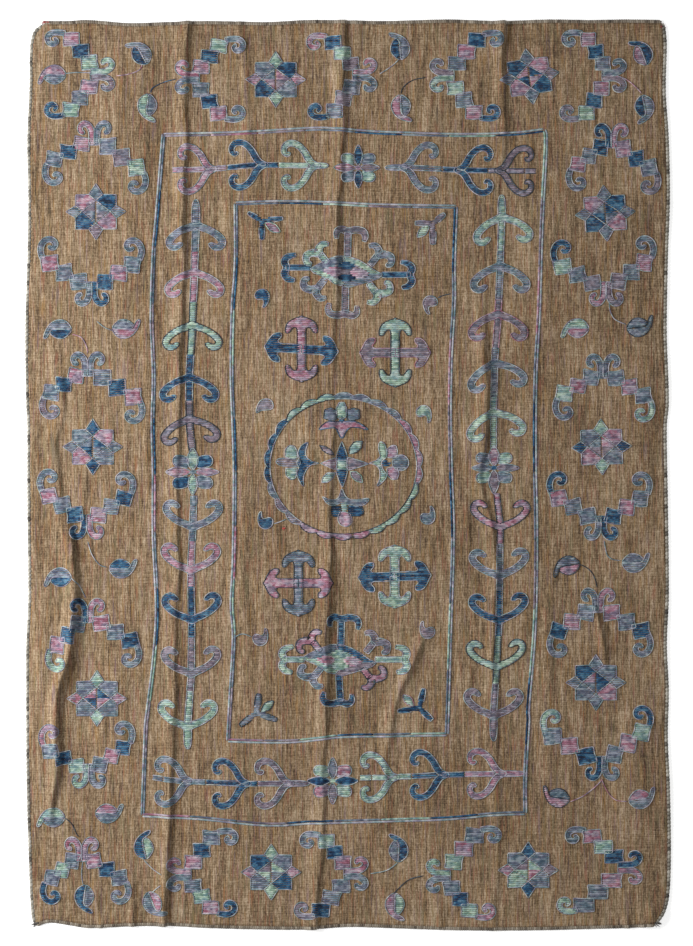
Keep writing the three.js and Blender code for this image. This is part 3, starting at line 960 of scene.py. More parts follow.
end_hook = [(-22, -13), (-22, 0), (-13, 6), (0, 2), (15, 5), (29, 2), (34, -8), (31, -18)]
SIDE_HOOK_WIDTHS = (3, 5.3, 6, 5.6, 6, 5.3, 3)
END_HOOK_WIDTHS = (3, 5, 5.5, 5.8, 5.5, 5.5, 5, 3)
ANTLER_STEM = [(-15, -19), (-7, -9), (0, 0)]
ANTLER_BRANCHES = [(-17, 18), (-6, 19), (2, 10), (3, 1), (13, 2), (26, -4), (25, -17), (16, -20)]
ANTLER_WIDTHS = (3, 5, 6, 6.5, 6, 6, 5, 3)


def diamond(x, y, bands, lenses, left_end, right_end, top_end, bottom_end, side_colour, end_colours, antlers):
    """Ends are places from the middle where a bar meets its hook. Antlers are rows of fork, sides
    and two colours."""
    middle = np.array((x, y), float)
    for end, root, mirror in ((left_end, (-70, left_end[1]), 1), (right_end, (68, right_end[1]), -1)):
        patch(ribbon([root + middle, end + middle], (4.6, 4.6)), side_colour)
        patch(ribbon(np.array(side_hook) * (mirror, 1) + end + middle, SIDE_HOOK_WIDTHS), side_colour)
    upright_bars = ((top_end, (1, 29), 1, end_colours[0]), (bottom_end, (-3, -29), -1, end_colours[1]))
    for end, root, mirror, colour in upright_bars:
        patch(ribbon([root + middle, end + middle], (5.6, 5.6)), colour)
        patch(ribbon(np.array(end_hook) * (mirror, mirror) + end + middle, END_HOOK_WIDTHS), colour)
    for fork, sides, colour, edge_colour in antlers:
        for line, widths in ((ANTLER_STEM, (5.5, 5.5, 6)), (ANTLER_BRANCHES, ANTLER_WIDTHS)):
            patch(ribbon(np.array(line) * sides + fork + middle, widths), colour, edge_colour)
    for (name, outline), colour in zip(diamond_bands.items(), bands.split()):
        patch(placed(outline, x, y), colour, None if name == "middle" else "pale")
    for outline, colour in zip(diamond_lenses.values(), lenses.split()):
        fill(smooth_line(placed(outline, x, y), closed=True, steps=3), colour, ROW_HEIGHT + LENS_LIFT)


diamond(
    -2, 397, "slate mint mint slate lilac", "rose rose navy navy",
    (-119, 8), (124, -6), (2, 77), (-3, -80), "navy", ("lilac", "lilac"),
    [((-53, 35), (-1, 1), "mint", "pale"), ((60, 32), (1, 1), "slate", "pale"),
     ((-58, -33), (-1, -1), "slate", "pale"), ((57, -41), (1, -1), "mint", "pale")],
)
diamond(
    -15, -361, "slate navy mint lilac mint", "rose rose mint mint",
    (-111, 1), (127, 1), (2, 78), (0, -80), "mint", ("navy", "navy"),
    [((-54, 36), (-1, 1), "rose", "dark"), ((65, 34), (1, 1), "lilac", "pale"),
     ((-51, -32), (-1, -1), "slate", "pale"), ((58, -35), (1, -1), "rose", "dark")],
)

# %% The four crosses
level_anchor = [(0, 8.5), (25, 8.5), (41, 8.5), (46, 11), (46, 15), (41, 20), (41, 28), (51, 28), (59, 23),
                (65, 14), (69, 6), (73, 0)]
upright_anchor = [(0, 9), (20, 8.5), (34, 8.5), (42, 10), (44, 14), (40, 19), (33, 24), (33, 31), (44, 31),
                  (54, 26), (61, 15), (64, 6), (67, 0)]


def cross_arm(x, y, turn, half, reach, colour, edge_colour):
    half = np.array(half, float)
    half[:, 0] *= reach / half[-1, 0]
    side = smooth_line(half, steps=3)
    outline = np.vstack([side, (side * (1, -1))[-2::-1]])
    patch(placed(outline, x, y, turn), colour, edge_colour)


def cross(x, y, tip, upright, level, tall, wide, upright_edge, level_edge):
    for turn in (tip, 180 + tip):
        cross_arm(x, y, turn, level_anchor, wide, level, level_edge)
    for turn in (90, 270):
        cross_arm(x, y, turn, upright_anchor, tall, upright, upright_edge)


cross(-91, 246, -4, "rose", "navy", 65, 73, "dark", "pale")
cross(92, 239, 0, "mint", "lilac", 68, 70, "dark", "rose")
cross(-97, -211, 0, "slate", "rose", 65, 69, "dark", "dark")
cross(91, -198, 2, "mint", "navy", 62, 72, "pale", "pale")

# %% The wreath of leaves
WREATH_CENTRE = (-9, 17)
WREATH_REACH = (143, 132)
LEAF_BULGE = 11
LEAF_RISE = 1.5
LEAF_OVERLAP = 1
LEAVES = 26
wreath_colours = table(
    "until colour edge_colour",
    (36, "rose", "pale"), (92, "slate", "pale"), (134, "mint", "dark"), (190, "navy", "pale"),
    (214, "slate", "pale"),
    (242, "lilac", "pale"), (294, "rose", "dark"), (346, "mint", "dark"), (360, "rose", "pale"),
)


def wreath_leaf(number):
    """A leaf that lies along the ring: its inner side follows the ring and its outer side bulges."""
    step = 360 / LEAVES
    start = number * step
    middle = (start + step / 2) % 360
    kind = next(row for row in wreath_colours if middle < row["until"])
    inner = []
    outer = []
    for share in np.linspace(0, 1, 9):
        angle = math.radians(start - LEAF_OVERLAP + (step + 2 * LEAF_OVERLAP) * share)
        bulge = math.sin(math.pi * (0.12 + 0.8 * share)) ** 0.9
        ring = np.array([math.cos(angle), math.sin(angle)])
        inner.append(WREATH_CENTRE + ring * WREATH_REACH)
        outer.append(WREATH_CENTRE + ring * (np.array(WREATH_REACH) + LEAF_BULGE * bulge + LEAF_RISE))
    fill(np.vstack([inner, outer[::-1]]), kind["colour"])
    for line in (inner, outer):
        edge(line, kind["edge_colour"], closed=False)


for number in range(LEAVES):
    wreath_leaf(number)

# %% The branching flower inside the wreath
FLOWER_CENTRE = (-12, 21)
branching_flower = [
    ("navy", "pale", [(0, 45), (-7, 28), (-11, 15), (-10, 8), (10, 8), (11, 15), (7, 28)]),
    ("mint", "pale", [(-10, 8), (-10, -10), (10, -10), (10, 8)]),
    ("navy", "pale", [(-10, -10), (-11, -15), (-6, -30), (1, -46), (7, -30), (11, -15), (10, -10)]),
    ("rose", "pale", [(-42, 2), (-26, 8), (-12, 13), (-10, 0), (-12, -11), (-26, -5)]),
    ("lilac", "pale", [(53, 1), (36, 7), (12, 14), (10, 0), (12, -12), (36, -5)]),
    ("lilac", "dark", [(-15, 18), (-27, 20), (-38, 27), (-44, 37), (-32, 35), (-21, 28)]),
    ("mint", "dark", [(14, 20), (14, 32), (24, 44), (40, 46), (38, 32), (27, 22)]),
    ("mint", "pale", [(-12, -16), (-28, -16), (-37, -25), (-40, -36), (-27, -35), (-17, -27)]),
    ("lilac", "mint", [(16, -14), (28, -14), (38, -22), (41, -36), (28, -33), (19, -25)]),
    ("rose", "navy",
     [(-45, 68), (-31, 82), (-10, 83), (10, 84), (31, 82), (52, 67), (31, 72), (15, 71), (8, 63), (0, 50),
      (-8, 63), (-13, 71), (-29, 70)]),
    ("slate", "dark", [(-36, 90), (-34, 107), (-22, 110), (-10, 106), (-10, 87), (-24, 85)]),
    ("slate", "dark", [(35, 90), (34, 107), (22, 110), (10, 106), (10, 87), (24, 85)]),
    ("mint", "pale", [(-10, 92), (-11, 110), (-5, 121), (5, 121), (9, 110), (8, 92), (0, 88)]),
    ("navy", None, [(-7, 84), (-6, 92), (0, 95), (6, 92), (6, 84), (0, 76)]),
    ("navy", "pale", [(-66, 43), (-78, 37), (-86, 23), (-83, 12), (-88, 3), (-84, -7), (-88, -16),
                      (-84, -30), (-75, -43), (-75, -25), (-68, -9), (-59, -1), (-44, 2), (-59, 6),
                      (-70, 16), (-70, 30)]),
    ("mint", "pale", [(-111, 15), (-110, 30), (-103, 37), (-93, 36), (-87, 26), (-86, 13), (-98, 11)]),
    ("mint", "pale", [(-110, -8), (-109, -22), (-100, -30), (-91, -28), (-87, -18), (-88, -7)]),
    ("lilac", "pale",
     [(-128, 8), (-118, 12), (-98, 11), (-82, 8), (-84, -4), (-100, -4), (-118, -3), (-127, 2)]),
    ("mint", "pale",
     [(73, 43), (82, 42), (87, 28), (87, 14), (78, 5), (80, -9), (88, -23), (75, -39), (68, -42), (74, -28),
      (73, -9), (63, 0), (53, 2), (66, 7), (75, 16), (72, 28)]),
    ("rose", "pale", [(88, 14), (89, 30), (97, 37), (106, 37), (109, 26), (107, 14), (97, 12)]),
    ("rose", "pale", [(88, -8), (89, -22), (98, -30), (108, -29), (112, -18), (108, -7), (98, -5)]),
    ("slate", "pale",
     [(99, 10), (108, 17), (120, 18), (129, 10), (130, -2), (122, -11), (110, -12), (100, -4)]),
    ("navy", None, [(75, 4), (84, 8), (96, 4), (98, 0), (90, -4), (80, -2)]),
    ("slate", "pale",
     [(-38, -63), (-27, -68), (-13, -69), (-5, -62), (0, -47), (6, -60), (15, -68), (33, -69), (52, -66),
      (50, -74), (38, -81), (17, -80), (1, -75), (-17, -81), (-29, -76)]),
    ("navy", "dark", [(-20, -82), (-21, -94), (-17, -102), (-6, -102), (-2, -94), (-3, -82)]),
    ("navy", "dark", [(13, -81), (12, -94), (18, -101), (36, -101), (43, -95), (40, -83), (28, -80)]),
    ("mint", None, [(-3, -76), (-1, -92), (8, -94), (13, -86), (11, -76), (4, -74)]),
    ("rose", "pale",
     [(-6, -95), (-7, -112), (2, -120), (12, -121), (20, -112), (17, -98), (10, -94), (2, -93)]),
]
for colour, edge_colour, outline in branching_flower:
    corners = placed(outline, *FLOWER_CENTRE)
    shape = corners if len(outline) < 8 else smooth_line(corners, closed=True, steps=3)
    patch(shape, colour, edge_colour)

# %% Comma leaves and corner sprigs
comma_shape = [(-14, -2), (-11, 8), (-2, 13), (8, 11), (14, 3), (14, -6), (11, -15), (6, -22), (1, -23),
               (4, -13), (1, -7), (-8, -7)]
dome_shape = [(-16, -14), (-15, -2), (-8, 10), (3, 14), (13, 11), (17, 2), (15, -6), (4, -8), (-7, -9)]
commas = table(
    "x y turn mirror shape colour stem_colour stem_line",
    (-168, 350, 0, False, comma_shape, "navy", None, None),
    (161, 337, 0, True, comma_shape, "lilac", "dark", [(14, 9), (26, 14), (40, 17)]),
    (-163, 135, 0, False, dome_shape, "lilac", None, None),
    (147, 123, 20, False, comma_shape, "mint", None, None),
    (-160, -92, 200, False, comma_shape, "navy", "pale", [(16, -3), (28, 1), (40, 6)]),
    (155, -83, 170, True, comma_shape, "slate", None, None),
    (-172, -320, 160, True, comma_shape, "lilac", "pale", [(-16, 4), (-34, 10), (-52, 2)]),
    (156, -306, 200, False, comma_shape, "lilac", None, None),
)
for row in commas:
    outline = placed(row["shape"], row["x"], row["y"], row["turn"], mirror=row["mirror"])
    patch(smooth_line(outline, closed=True, steps=3), row["colour"])
    if row["stem_line"]:
        stem([(row["x"] + dx, row["y"] + dy) for dx, dy in row["stem_line"]], row["stem_colour"])


def sprig(x, y, colour, edge_colour, lobes, leaf, leaf_colour, leaf_edge="dark"):
    """Three lobes that grow out of one joint, each with its half width, and a leaf a little off it."""
    for tip_x, tip_y, half_width in lobes:
        line = [(x, y), (x + tip_x * 0.6, y + tip_y * 0.6), (x + tip_x, y + tip_y)]
        outline = ribbon(line, (half_width - 0.6, half_width, half_width - 1.8))
        fill(outline, colour)
        edge(outline[3:-3], edge_colour, closed=False)
    start, end = leaf
    length = math.hypot(end[0] - start[0], end[1] - start[1])
    turn = math.degrees(math.atan2(end[1] - start[1], end[0] - start[0]))
    petal(x + start[0], y + start[1], length, 15, turn, leaf_colour, leaf_edge, 0)


sprig(-168, 496, "navy", "pale", [(-27, 16, 4), (41, 5, 4.2), (0, -37, 4.8)], [(6, -4), (36, -22)], "rose",
    "mint")
sprig(165, 490, "lilac", "pale", [(-34, 2, 4.6), (24, 20, 4.8), (1, -40, 5.6)], [(-7, -3), (-30, -26)],
    "mint", "pale")
sprig(-179, -464, "slate", "dark", [(5, 37, 5.8), (-32, -25, 5), (40, -14, 5)], [(9, 2), (34, 23)], "mint")
sprig(139, -455, "navy", "pale", [(9, 38, 5.2), (-42, -6, 4.4), (25, -23, 5)], [(-10, 4), (-32, 26)],
    "mint", "rose")

# %% [markdown]
# Two frames of double stitching part the border from the vines and the vines from the field.
# One row is pale and the row inside it changes colour every hand's breadth or two, as each
# length of yarn ran out. They bow with the cloth, so their corners are measured places.

# %% The two frames
outer_frame = {
    "top": [(-360, 664), (-201, 668), (-70, 676), (-16, 674), (72, 668), (205, 664), (315, 666), (382, 673)],
    "right": [(383, 673), (386, 645), (378, 488), (373, 324), (367, 215), (365, 127), (365, 4), (367, -78),
              (367, -211), (363, -320), (352, -451), (352, -483), (346, -584), (346, -660)],
    "bottom": [(346, -660), (283, -662), (191, -670), (-16, -677), (-70, -678), (-156, -682), (-287, -670),
               (-401, -664)],
    "left": [(-401, -664), (-395, -504), (-391, -461), (-379, -361), (-373, -260), (-379, -121), (-379, 0),
             (-381, 107), (-379, 195), (-383, 305), (-379, 436), (-375, 483), (-360, 666)],
}
inner_frame = {
    "top": [(-219, 530), (-113, 533), (-16, 530), (74, 526), (211, 524)],
    "right": [(211, 524), (207, 412), (207, 340), (201, 233), (199, 123), (201, 16), (205, -123),
              (199, -320), (195, -451), (193, -506)],
    "bottom": [(193, -506), (72, -508), (-16, -510), (-113, -520), (-234, -518)],
    "left": [(-234, -518), (-229, -426), (-223, -317), (-227, -252), (-223, -164), (-221, -6), (-223, 88),
             (-227, 195), (-225, 322), (-219, 412), (-219, 530)],
}
FRAME_ROW = 2.3
PALE_ROW_HEIGHT = 1.6
COLOURED_ROW_HEIGHT = 1.9


def frame_side(points, colours):
    line = resampled(smooth_line(points), EDGE_STITCH)
    along = np.gradient(line, axis=0)
    along /= np.hypot(along[:, 0], along[:, 1])[:, None]
    inward = np.stack([along[:, 1], -along[:, 0]], axis=1)
    tones = yarn_tones(len(line), 0.5)
    piles["pale"].lay(line - inward * FRAME_ROW, FRAME_ROW, PALE_ROW_HEIGHT, tones)
    words = colours.split()
    cuts = np.linspace(0, len(line), len(words) + 1).astype(int)
    for colour, first, last in zip(words, cuts[:-1], cuts[1:]):
        piece = (line + inward * FRAME_ROW)[first:last + 1]
        tones = yarn_tones(len(piece), random.uniform(0.3, 0.6))
        piles[colour].lay(piece, FRAME_ROW, COLOURED_ROW_HEIGHT, tones)


outer_colours = (
    "lilac rose lilac slate navy slate mint navy",
    "mint lilac rose slate navy slate lilac mint navy slate",
    "slate navy mint slate navy lilac slate rose",
    "slate lilac mint navy slate rose navy slate lilac slate navy slate",
)
inner_colours = (
    "slate navy mint lilac slate",
    "navy slate rose lilac navy slate mint slate",
    "mint slate navy mint lilac rose",
    "lilac slate mint rose slate navy slate mint navy slate",
)
for lines, words in ((outer_frame, outer_colours), (inner_frame, inner_colours)):
    for line, colours in zip(lines.values(), words):
        frame_side(line, colours)

# %% One small red spot, lower left of the wreath
red_spot = placed([(4, 0), (0, 5), (-4, 0), (0, -5)], -125, -104)
fill(red_spot, "red")
for colour, pile in piles.items():
    print("thread", colour, pile.count(), "stations")

# %% [markdown]
# Now each pile becomes one mesh. Every station is a ring of four points: two where the yarn
# goes down into the cloth and two on its back. Rings are joined by quads and the two ends are
# capped, so each thread is a closed body that stands on the cloth and follows its folds. The
# tone goes with it as a point attribute, and the wool's material reads it.

# %% Make one mesh of each pile
RING = 4
ring_quads = np.array([(k, (k + 1) % RING, RING + (k + 1) % RING, RING + k) for k in range(RING)])


def colour_in(mesh, tones):
    attribute = mesh.attributes.new("tone", "FLOAT", "POINT")
    attribute.data.foreach_set("value", np.asarray(tones, np.float32))


def mesh_piece(name, points, faces, tones):
    mesh = bpy.data.meshes.new(name)
    mesh.from_pydata((np.asarray(points) * MM).tolist(), [], faces)
    mesh.polygons.foreach_set("use_smooth", np.ones(len(mesh.polygons), bool))
    colour_in(mesh, tones)
    mesh.update()
    piece = bpy.data.objects.new(name, mesh)
    bpy.context.scene.collection.objects.link(piece)
    return piece


def thread_piece(name, pile):
    points = []
    tones = []
    faces = []
    first = 0
    for places, sides, half_width, height, run_tones in pile.runs:
        count = len(places)
        reach = sides * half_width[:, None]
        ring = np.empty((count, RING, 3))
        for corner, share, raised in ((0, 1.0, False), (1, 0.5, True), (2, -0.5, True), (3, -1.0, False)):
            ring[:, corner, :2] = places + reach * share
            ring[:, corner, 2] = height if raised else -SUNK
        points.append(ring.reshape(-1, 3))
        tones.append(np.repeat(run_tones, RING))
        starts = first + np.arange(count - 1) * RING
        faces.extend((starts[:, None, None] + ring_quads[None]).reshape(-1, RING).tolist())
        last = first + (count - 1) * RING
        faces.append([first + 3, first + 2, first + 1, first])
        faces.append([last, last + 1, last + 2, last + 3])
        first += count * RING
    points = np.vstack(points)
    points[:, 2] += cloth_top(points[:, 0], points[:, 1])
    return mesh_piece(name, points, faces, np.concatenate(tones))


embroidery = {colour: thread_piece("embroidery_" + colour, pile) for colour, pile in piles.items()}
for colour, piece in embroidery.items():
    print(piece.name, len(piece.data.polygons), "faces")

# %% [markdown]
# Woollen yarn is wound over the cloth's rim all the way round. Seen close it is a row of
# slanting beads: fat ones with dark gaps along the long sides, finer and closer ones along
# the two ends. Each side is one closed tube whose radius swells once a bead. The swelling
# comes a little later round the tube's back, and that is what makes the beads slant.

# %% The overcast edging
AROUND = 8
EDGING_HALF_WIDTH = 3.9
EDGING_HALF_HEIGHT = 2.5
STATIONS_PER_BEAD = 6
CENTRE_LINE_OUT = 2.3
BEAD_WANDER = 0.07
WANDER_PLACES = 160
BEAD_TONE_SPREAD = 0.16
# The tone in each groove, and how much lighter a bead's top is: painted shade between the beads, with some
# dust.
DARKEST_TONE = 0.25
GROOVE_SHADE_AND_DUST_DEPTH = 0.45
BEAD_FULLNESS = 0.6
SMALLEST_END = 0.35


def rim(name):
    """Points along one side, a little outside the cloth. The line runs so that its left is outwards."""
    if name in ("left", "right"):
        side = -1 if name == "left" else 1
        ys = np.linspace(-CLOTH_HALF_LENGTH, CLOTH_HALF_LENGTH, 260)
        xs = side * (CLOTH_HALF_WIDTH - from_table(side_insets, "y", ys, name) + CENTRE_LINE_OUT)
        ys = ys + end_shift(xs, ys)
        return np.stack([xs, ys], axis=1)[:: -side]
    side = -1 if name == "bottom" else 1
    row_y = side * CLOTH_HALF_LENGTH
    left = -CLOTH_HALF_WIDTH + float(from_table(side_insets, "y", row_y, "left"))
    right = CLOTH_HALF_WIDTH - float(from_table(side_insets, "y", row_y, "right"))
    xs = np.linspace(left, right, 220)
    ys = row_y + end_shift(xs, np.full(len(xs), row_y)) + side * CENTRE_LINE_OUT
    return np.stack([xs, ys], axis=1)[::side]


def edging_piece(name, bead, groove, slant):
    """One closed tube of beads. The bead is its length, and the groove and the slant are shares of it."""
    line = resampled(rim(name), bead / STATIONS_PER_BEAD)
    count = len(line)
    along = np.gradient(line, axis=0)
    along /= np.hypot(along[:, 0], along[:, 1])[:, None]
    side = np.stack([-along[:, 1], along[:, 0]], axis=1)
    height = cloth_lift(line[:, 0], line[:, 1]) + CLOTH_THICKNESS / 2
    wander_places = np.linspace(0, count, WANDER_PLACES)
    wander = np.interp(np.arange(count), wander_places, random.normal(0, BEAD_WANDER, WANDER_PLACES))
    phase = np.arange(count) / STATIONS_PER_BEAD + wander
    ends = np.clip(np.minimum(np.arange(count), np.arange(count)[::-1]) / STATIONS_PER_BEAD, SMALLEST_END, 1)
    points = np.empty((count, AROUND, 3))
    tones = np.empty((count, AROUND))
    bead_tone = random.normal(0, BEAD_TONE_SPREAD, int(phase.max()) + 3)
    for k in range(AROUND):
        angle = 2 * math.pi * k / AROUND
        turn = phase + slant * math.sin(angle)
        swell = np.abs(np.sin(math.pi * turn)) ** BEAD_FULLNESS
        size = (1 - groove + groove * swell) * ends
        points[:, k, :2] = line + side * (EDGING_HALF_WIDTH * math.cos(angle) * size)[:, None]
        points[:, k, 2] = height + EDGING_HALF_HEIGHT * math.sin(angle) * size
        own_tone = bead_tone[np.clip(turn.astype(int), 0, None)]
        # Painted shade and dust: the tone is darkest in the grooves between beads and lightest on their tops.
        tones[:, k] = np.clip(DARKEST_TONE + GROOVE_SHADE_AND_DUST_DEPTH * swell + own_tone, 0, 1)
    points[:, :, 2] = np.maximum(points[:, :, 2], 0.0)
    faces = []
    for k in range(AROUND):
        following = (k + 1) % AROUND
        starts = np.arange(count - 1) * AROUND
        ahead = starts + AROUND
        quads = np.stack([starts + k, ahead + k, ahead + following, starts + following], axis=1)
        faces.extend(quads.tolist())
    faces.append(list(range(AROUND)))
    faces.append(list(range(count * AROUND - 1, (count - 1) * AROUND - 1, -1)))
    return mesh_piece("overcast_" + name, points.reshape(-1, 3), faces, tones.ravel())


sides = table(
    "name bead groove slant",
    ("left", 8.4, 0.34, 0.22), ("right", 7.6, 0.30, 0.22),
    ("bottom", 4.4, 0.22, 0.18), ("top", 4.4, 0.22, 0.18),
)
edgings = {row["name"]: edging_piece(**row) for row in sides}
for piece in edgings.values():
    print(piece.name, len(piece.data.polygons), "faces")

# %% [markdown]
# The overcasting yarn was finished at the corners, where its ends are left as short tufts.
# Each tuft is a handful of strands that part from one knot and lie down on the floor.

# %% Corner tufts
STRAND_SIDES = 6
STRAND_PLACES = 7


def strand(points, radii, first):
    places = np.array(points, float)
    along = np.gradient(places, axis=0)
    along /= np.linalg.norm(along, axis=1)[:, None]
    side = np.cross(along, (0.0, 0.0, 1.0))
    side /= np.maximum(np.linalg.norm(side, axis=1), 1e-6)[:, None]
    rise = np.cross(side, along)
    rings = []
    for k in range(STRAND_SIDES):
        angle = 2 * math.pi * k / STRAND_SIDES
        rings.append(places + (side * math.cos(angle) + rise * math.sin(angle)) * np.array(radii)[:, None])
    ring = np.stack(rings, axis=1)
    faces = []
    for i in range(len(places) - 1):
        for k in range(STRAND_SIDES):
            a = first + i * STRAND_SIDES + k
            b = first + i * STRAND_SIDES + (k + 1) % STRAND_SIDES
            faces.append([a, a + STRAND_SIDES, b + STRAND_SIDES, b])
    faces.append([first + k for k in range(STRAND_SIDES)])
    last = first + (len(places) - 1) * STRAND_SIDES
    faces.append([last + k for k in reversed(range(STRAND_SIDES))])
    return ring.reshape(-1, 3), faces


def tuft(name, x, y, heading, length, strands, spread, radius):
    points = []
    faces = []
    height = float(cloth_top(x, y))
    for _ in range(strands):
        angle = math.radians(heading + random.uniform(-spread, spread))
        reach = length * random.uniform(0.6, 1.0)
        bend = random.uniform(-0.35, 0.35) * reach
        rows = []
        for share in np.linspace(0, 1, STRAND_PLACES):
            across = bend * share * share
            px = x + reach * share * math.cos(angle) - across * math.sin(angle)
            py = y + reach * share * math.sin(angle) + across * math.cos(angle)
            pz = radius + 0.3 + max(0.0, (height + 1.0) * (1 - share) ** 2) + random.uniform(0, 0.5)
            rows.append((px, py, pz))
        radii = [
            radius * (0.8 + 0.2 * math.cos(share * 9)) * (1 - 0.5 * share ** 3)
            for share in np.linspace(0, 1, STRAND_PLACES)
        ]
        some, some_faces = strand(rows, radii, len(points))
        points.extend(some.tolist())
        faces.extend(some_faces)
    return mesh_piece("tuft_" + name, points, faces, random.uniform(0.2, 0.8, len(points)))


corners = table(
    "name x y heading length strands spread radius",
    ("upper_left", -583, 884, 178, 17, 9, 14, 1.1),
    ("lower_left", -605, -873, 215, 15, 9, 30, 1.1),
    ("lower_right", 598, -873, -30, 15, 9, 50, 1.1),
    ("upper_right", 611, 874, 40, 12, 7, 50, 1.0),
)
tufts = [tuft(**row) for row in corners]
print("tufts:", [len(piece.data.polygons) for piece in tufts])

# %% [markdown]
# Wool is a matt fibre with a soft sheen at low angles. It takes dye unevenly, so that one
# yarn is never one colour, and hand dyeing gives bands along the yarn that weavers call abrash.
# Colours come from the thread's tone and from noise in millimetres on Object coordinates.

# %% Colours and nodes
def linear(hex_colour):
    channels = [int(hex_colour[i:i + 2], 16) / 255 for i in (1, 3, 5)]
    return [c / 12.92 if c <= 0.04045 else ((c + 0.055) / 1.055) ** 2.4 for c in channels] + [1.0]


def add(nodes, kind, inputs=None, **settings):
    """Add a node to a tree, set its properties and fill or link its inputs."""
    node = nodes.new(kind)
    for key, value in settings.items():
        setattr(node, key, value)
    for key, value in (inputs or {}).items():
        if isinstance(value, bpy.types.NodeSocket):
            node.id_data.links.new(value, node.inputs[key])
        else:
            node.inputs[key].default_value = value
    return node


def new_material(name, roughness, sheen):
    material = bpy.data.materials.new(name)
    material.use_nodes = True
    shader = material.node_tree.nodes["Principled BSDF"]
    shader.inputs["Roughness"].default_value = roughness
    shader.inputs["Sheen Weight"].default_value = sheen
    shader.inputs["Sheen Roughness"].default_value = 0.6
    shader.inputs["Specular IOR Level"].default_value = 0.2
    return material, material.node_tree.nodes, shader


def ramp(nodes, factor, stops):
    node = add(nodes, "ShaderNodeValToRGB", {"Fac": factor})
    while len(node.color_ramp.elements) < len(stops):
        node.color_ramp.elements.new(0.5)
    for element, (position, hex_colour) in zip(node.color_ramp.elements, stops):
        element.position = position
        element.color = linear(hex_colour)
    return node.outputs["Color"]


def noise(nodes, pitch, detail=2.0, offset=(0, 0, 0)):
    """Noise on Object coordinates. The pitch is its size in millimetres across, along and up."""
    place = add(nodes, "ShaderNodeTexCoord").outputs["Object"]
    scale = [1000 / size for size in pitch]
    moved = add(nodes, "ShaderNodeMapping", {"Vector": place, "Location": offset, "Scale": scale})
    inputs = {"Vector": moved.outputs["Vector"], "Scale": 1.0, "Detail": detail}
    made = add(nodes, "ShaderNodeTexNoise", inputs)
    return made.outputs["Fac"]


def mix_colour(nodes, factor, a, b, blend="MIX"):
    node = add(nodes, "ShaderNodeMix", data_type="RGBA", blend_type=blend)
    for socket, value in ((node.inputs[0], factor), (node.inputs[6], a), (node.inputs[7], b)):
        if isinstance(value, bpy.types.NodeSocket):
            node.id_data.links.new(value, socket)
        else:
            socket.default_value = value
    return node.outputs[2]


def stretched(nodes, value, low, high, to_low=0.0, to_high=1.0):
    return add(
        nodes, "ShaderNodeMapRange",
        {"Value": value, "From Min": low, "From Max": high, "To Min": to_low, "To Max": to_high},
    ).outputs["Result"]


def toned_shade(nodes, pitch, amount):
    """The tone that each thread carries, with a slow drift of noise along it."""
    tone = add(nodes, "ShaderNodeAttribute", attribute_name="tone").outputs["Fac"]
    drift = stretched(nodes, noise(nodes, pitch), 0.3, 0.7, -amount, amount)
    return add(nodes, "ShaderNodeMath", {0: tone, 1: drift}, operation="ADD").outputs["Value"]


def twist(material, base, fibre_pitch, darkest, lightest, ply_pitch):
    """Finish a yarn: fine noise darkens the colour between its fibres, and a bump raises its plies."""
    nodes = material.node_tree.nodes
    shader = nodes["Principled BSDF"]
    fibre = stretched(nodes, noise(nodes, fibre_pitch, 3.0), 0.3, 0.7, darkest, lightest)
    twisted = mix_colour(nodes, 1.0, base, fibre, "MULTIPLY")
    material.node_tree.links.new(twisted, shader.inputs["Base Color"])
    plies = noise(nodes, ply_pitch, 2.0)
    bump = add(nodes, "ShaderNodeBump", {"Height": plies, "Strength": 0.5, "Distance": 0.0006})
    material.node_tree.links.new(bump.outputs["Normal"], shader.inputs["Normal"])


# %% Embroidery wool in eight dyes
wool_dyes = {
    "navy": (("#061D36", "#0C3357", "#1F5177", "#456F8D"), ("#10304B", "#1C4869", "#366581", "#5A8097")),
    "mint": (("#67867A", "#87A391", "#A3BAA7", "#BECEBC"), ("#608085", "#809D9C", "#9BB1AE", "#B4C4BE")),
    "slate": (("#3F5363", "#566A78", "#72838E", "#909CA3"), ("#4F556A", "#666D7F", "#7E8594", "#999EAB")),
    "lilac": (("#4F505F", "#636371", "#7A7987", "#9492A0"), ("#5F5363", "#786A77", "#8D808B", "#A196A1")),
    "rose": (("#8B5265", "#A36E81", "#B28B9B", "#BFA6B0"), ("#6D5F74", "#89798C", "#9F8F9F", "#B1A7B1")),
    "pale": (("#5F787F", "#7C9297", "#98A6A7", "#B3BBBA"), ("#757185", "#8E8A9B", "#A3A0AC", "#B6B4BC")),
    "dark": (("#18212B", "#232D37", "#303B45", "#465059"), ("#1E2C3A", "#2A3A49", "#3A4A58", "#51606B")),
    "red": (("#7A1F24", "#9C2B2E", "#A93A38", "#B44A44"), ("#7A1F24", "#9C2B2E", "#A93A38", "#B44A44")),
}
DYE_STOPS = (0.08, 0.38, 0.66, 0.95)


def embroidery_wool(colour, dyes):
    """Two-ply wool yarn: the tone gives each stitch its shade, and fine noise the twist of the plies."""
    material, nodes, _ = new_material("embroidery_wool_" + colour, 0.9, 0.12)
    shade = toned_shade(nodes, (10, 7, 40), 0.3)
    first, second = [ramp(nodes, shade, list(zip(DYE_STOPS, dye))) for dye in dyes]
    patches = stretched(nodes, noise(nodes, (20, 11, 40), 2.0, (4, 8, 2)), 0.44, 0.56)
    base = mix_colour(nodes, patches, first, second)
    twist(material, base, (2.4, 0.9, 2.0), 0.74, 1.12, (2.0, 0.8, 2.0))
    return material


for colour, dyes in wool_dyes.items():
    embroidery[colour].data.materials.append(embroidery_wool(colour, dyes))

# %% [markdown]
# The ground is a plain kilim weave of handspun brown wool, and its yarns run along the rug.
# Natural fleece is mixed, so that fine light and dark streaks lie side by side, with here and
# there a thread of ochre, rust, mauve or olive. The streaks are noise drawn out along the rug,
# 2.8 mm wide by 24 mm long for a yarn, and wider, longer and fainter for a skein.

# %% Ground wool
ONE_BAND_A_UNIT = math.pi / 10


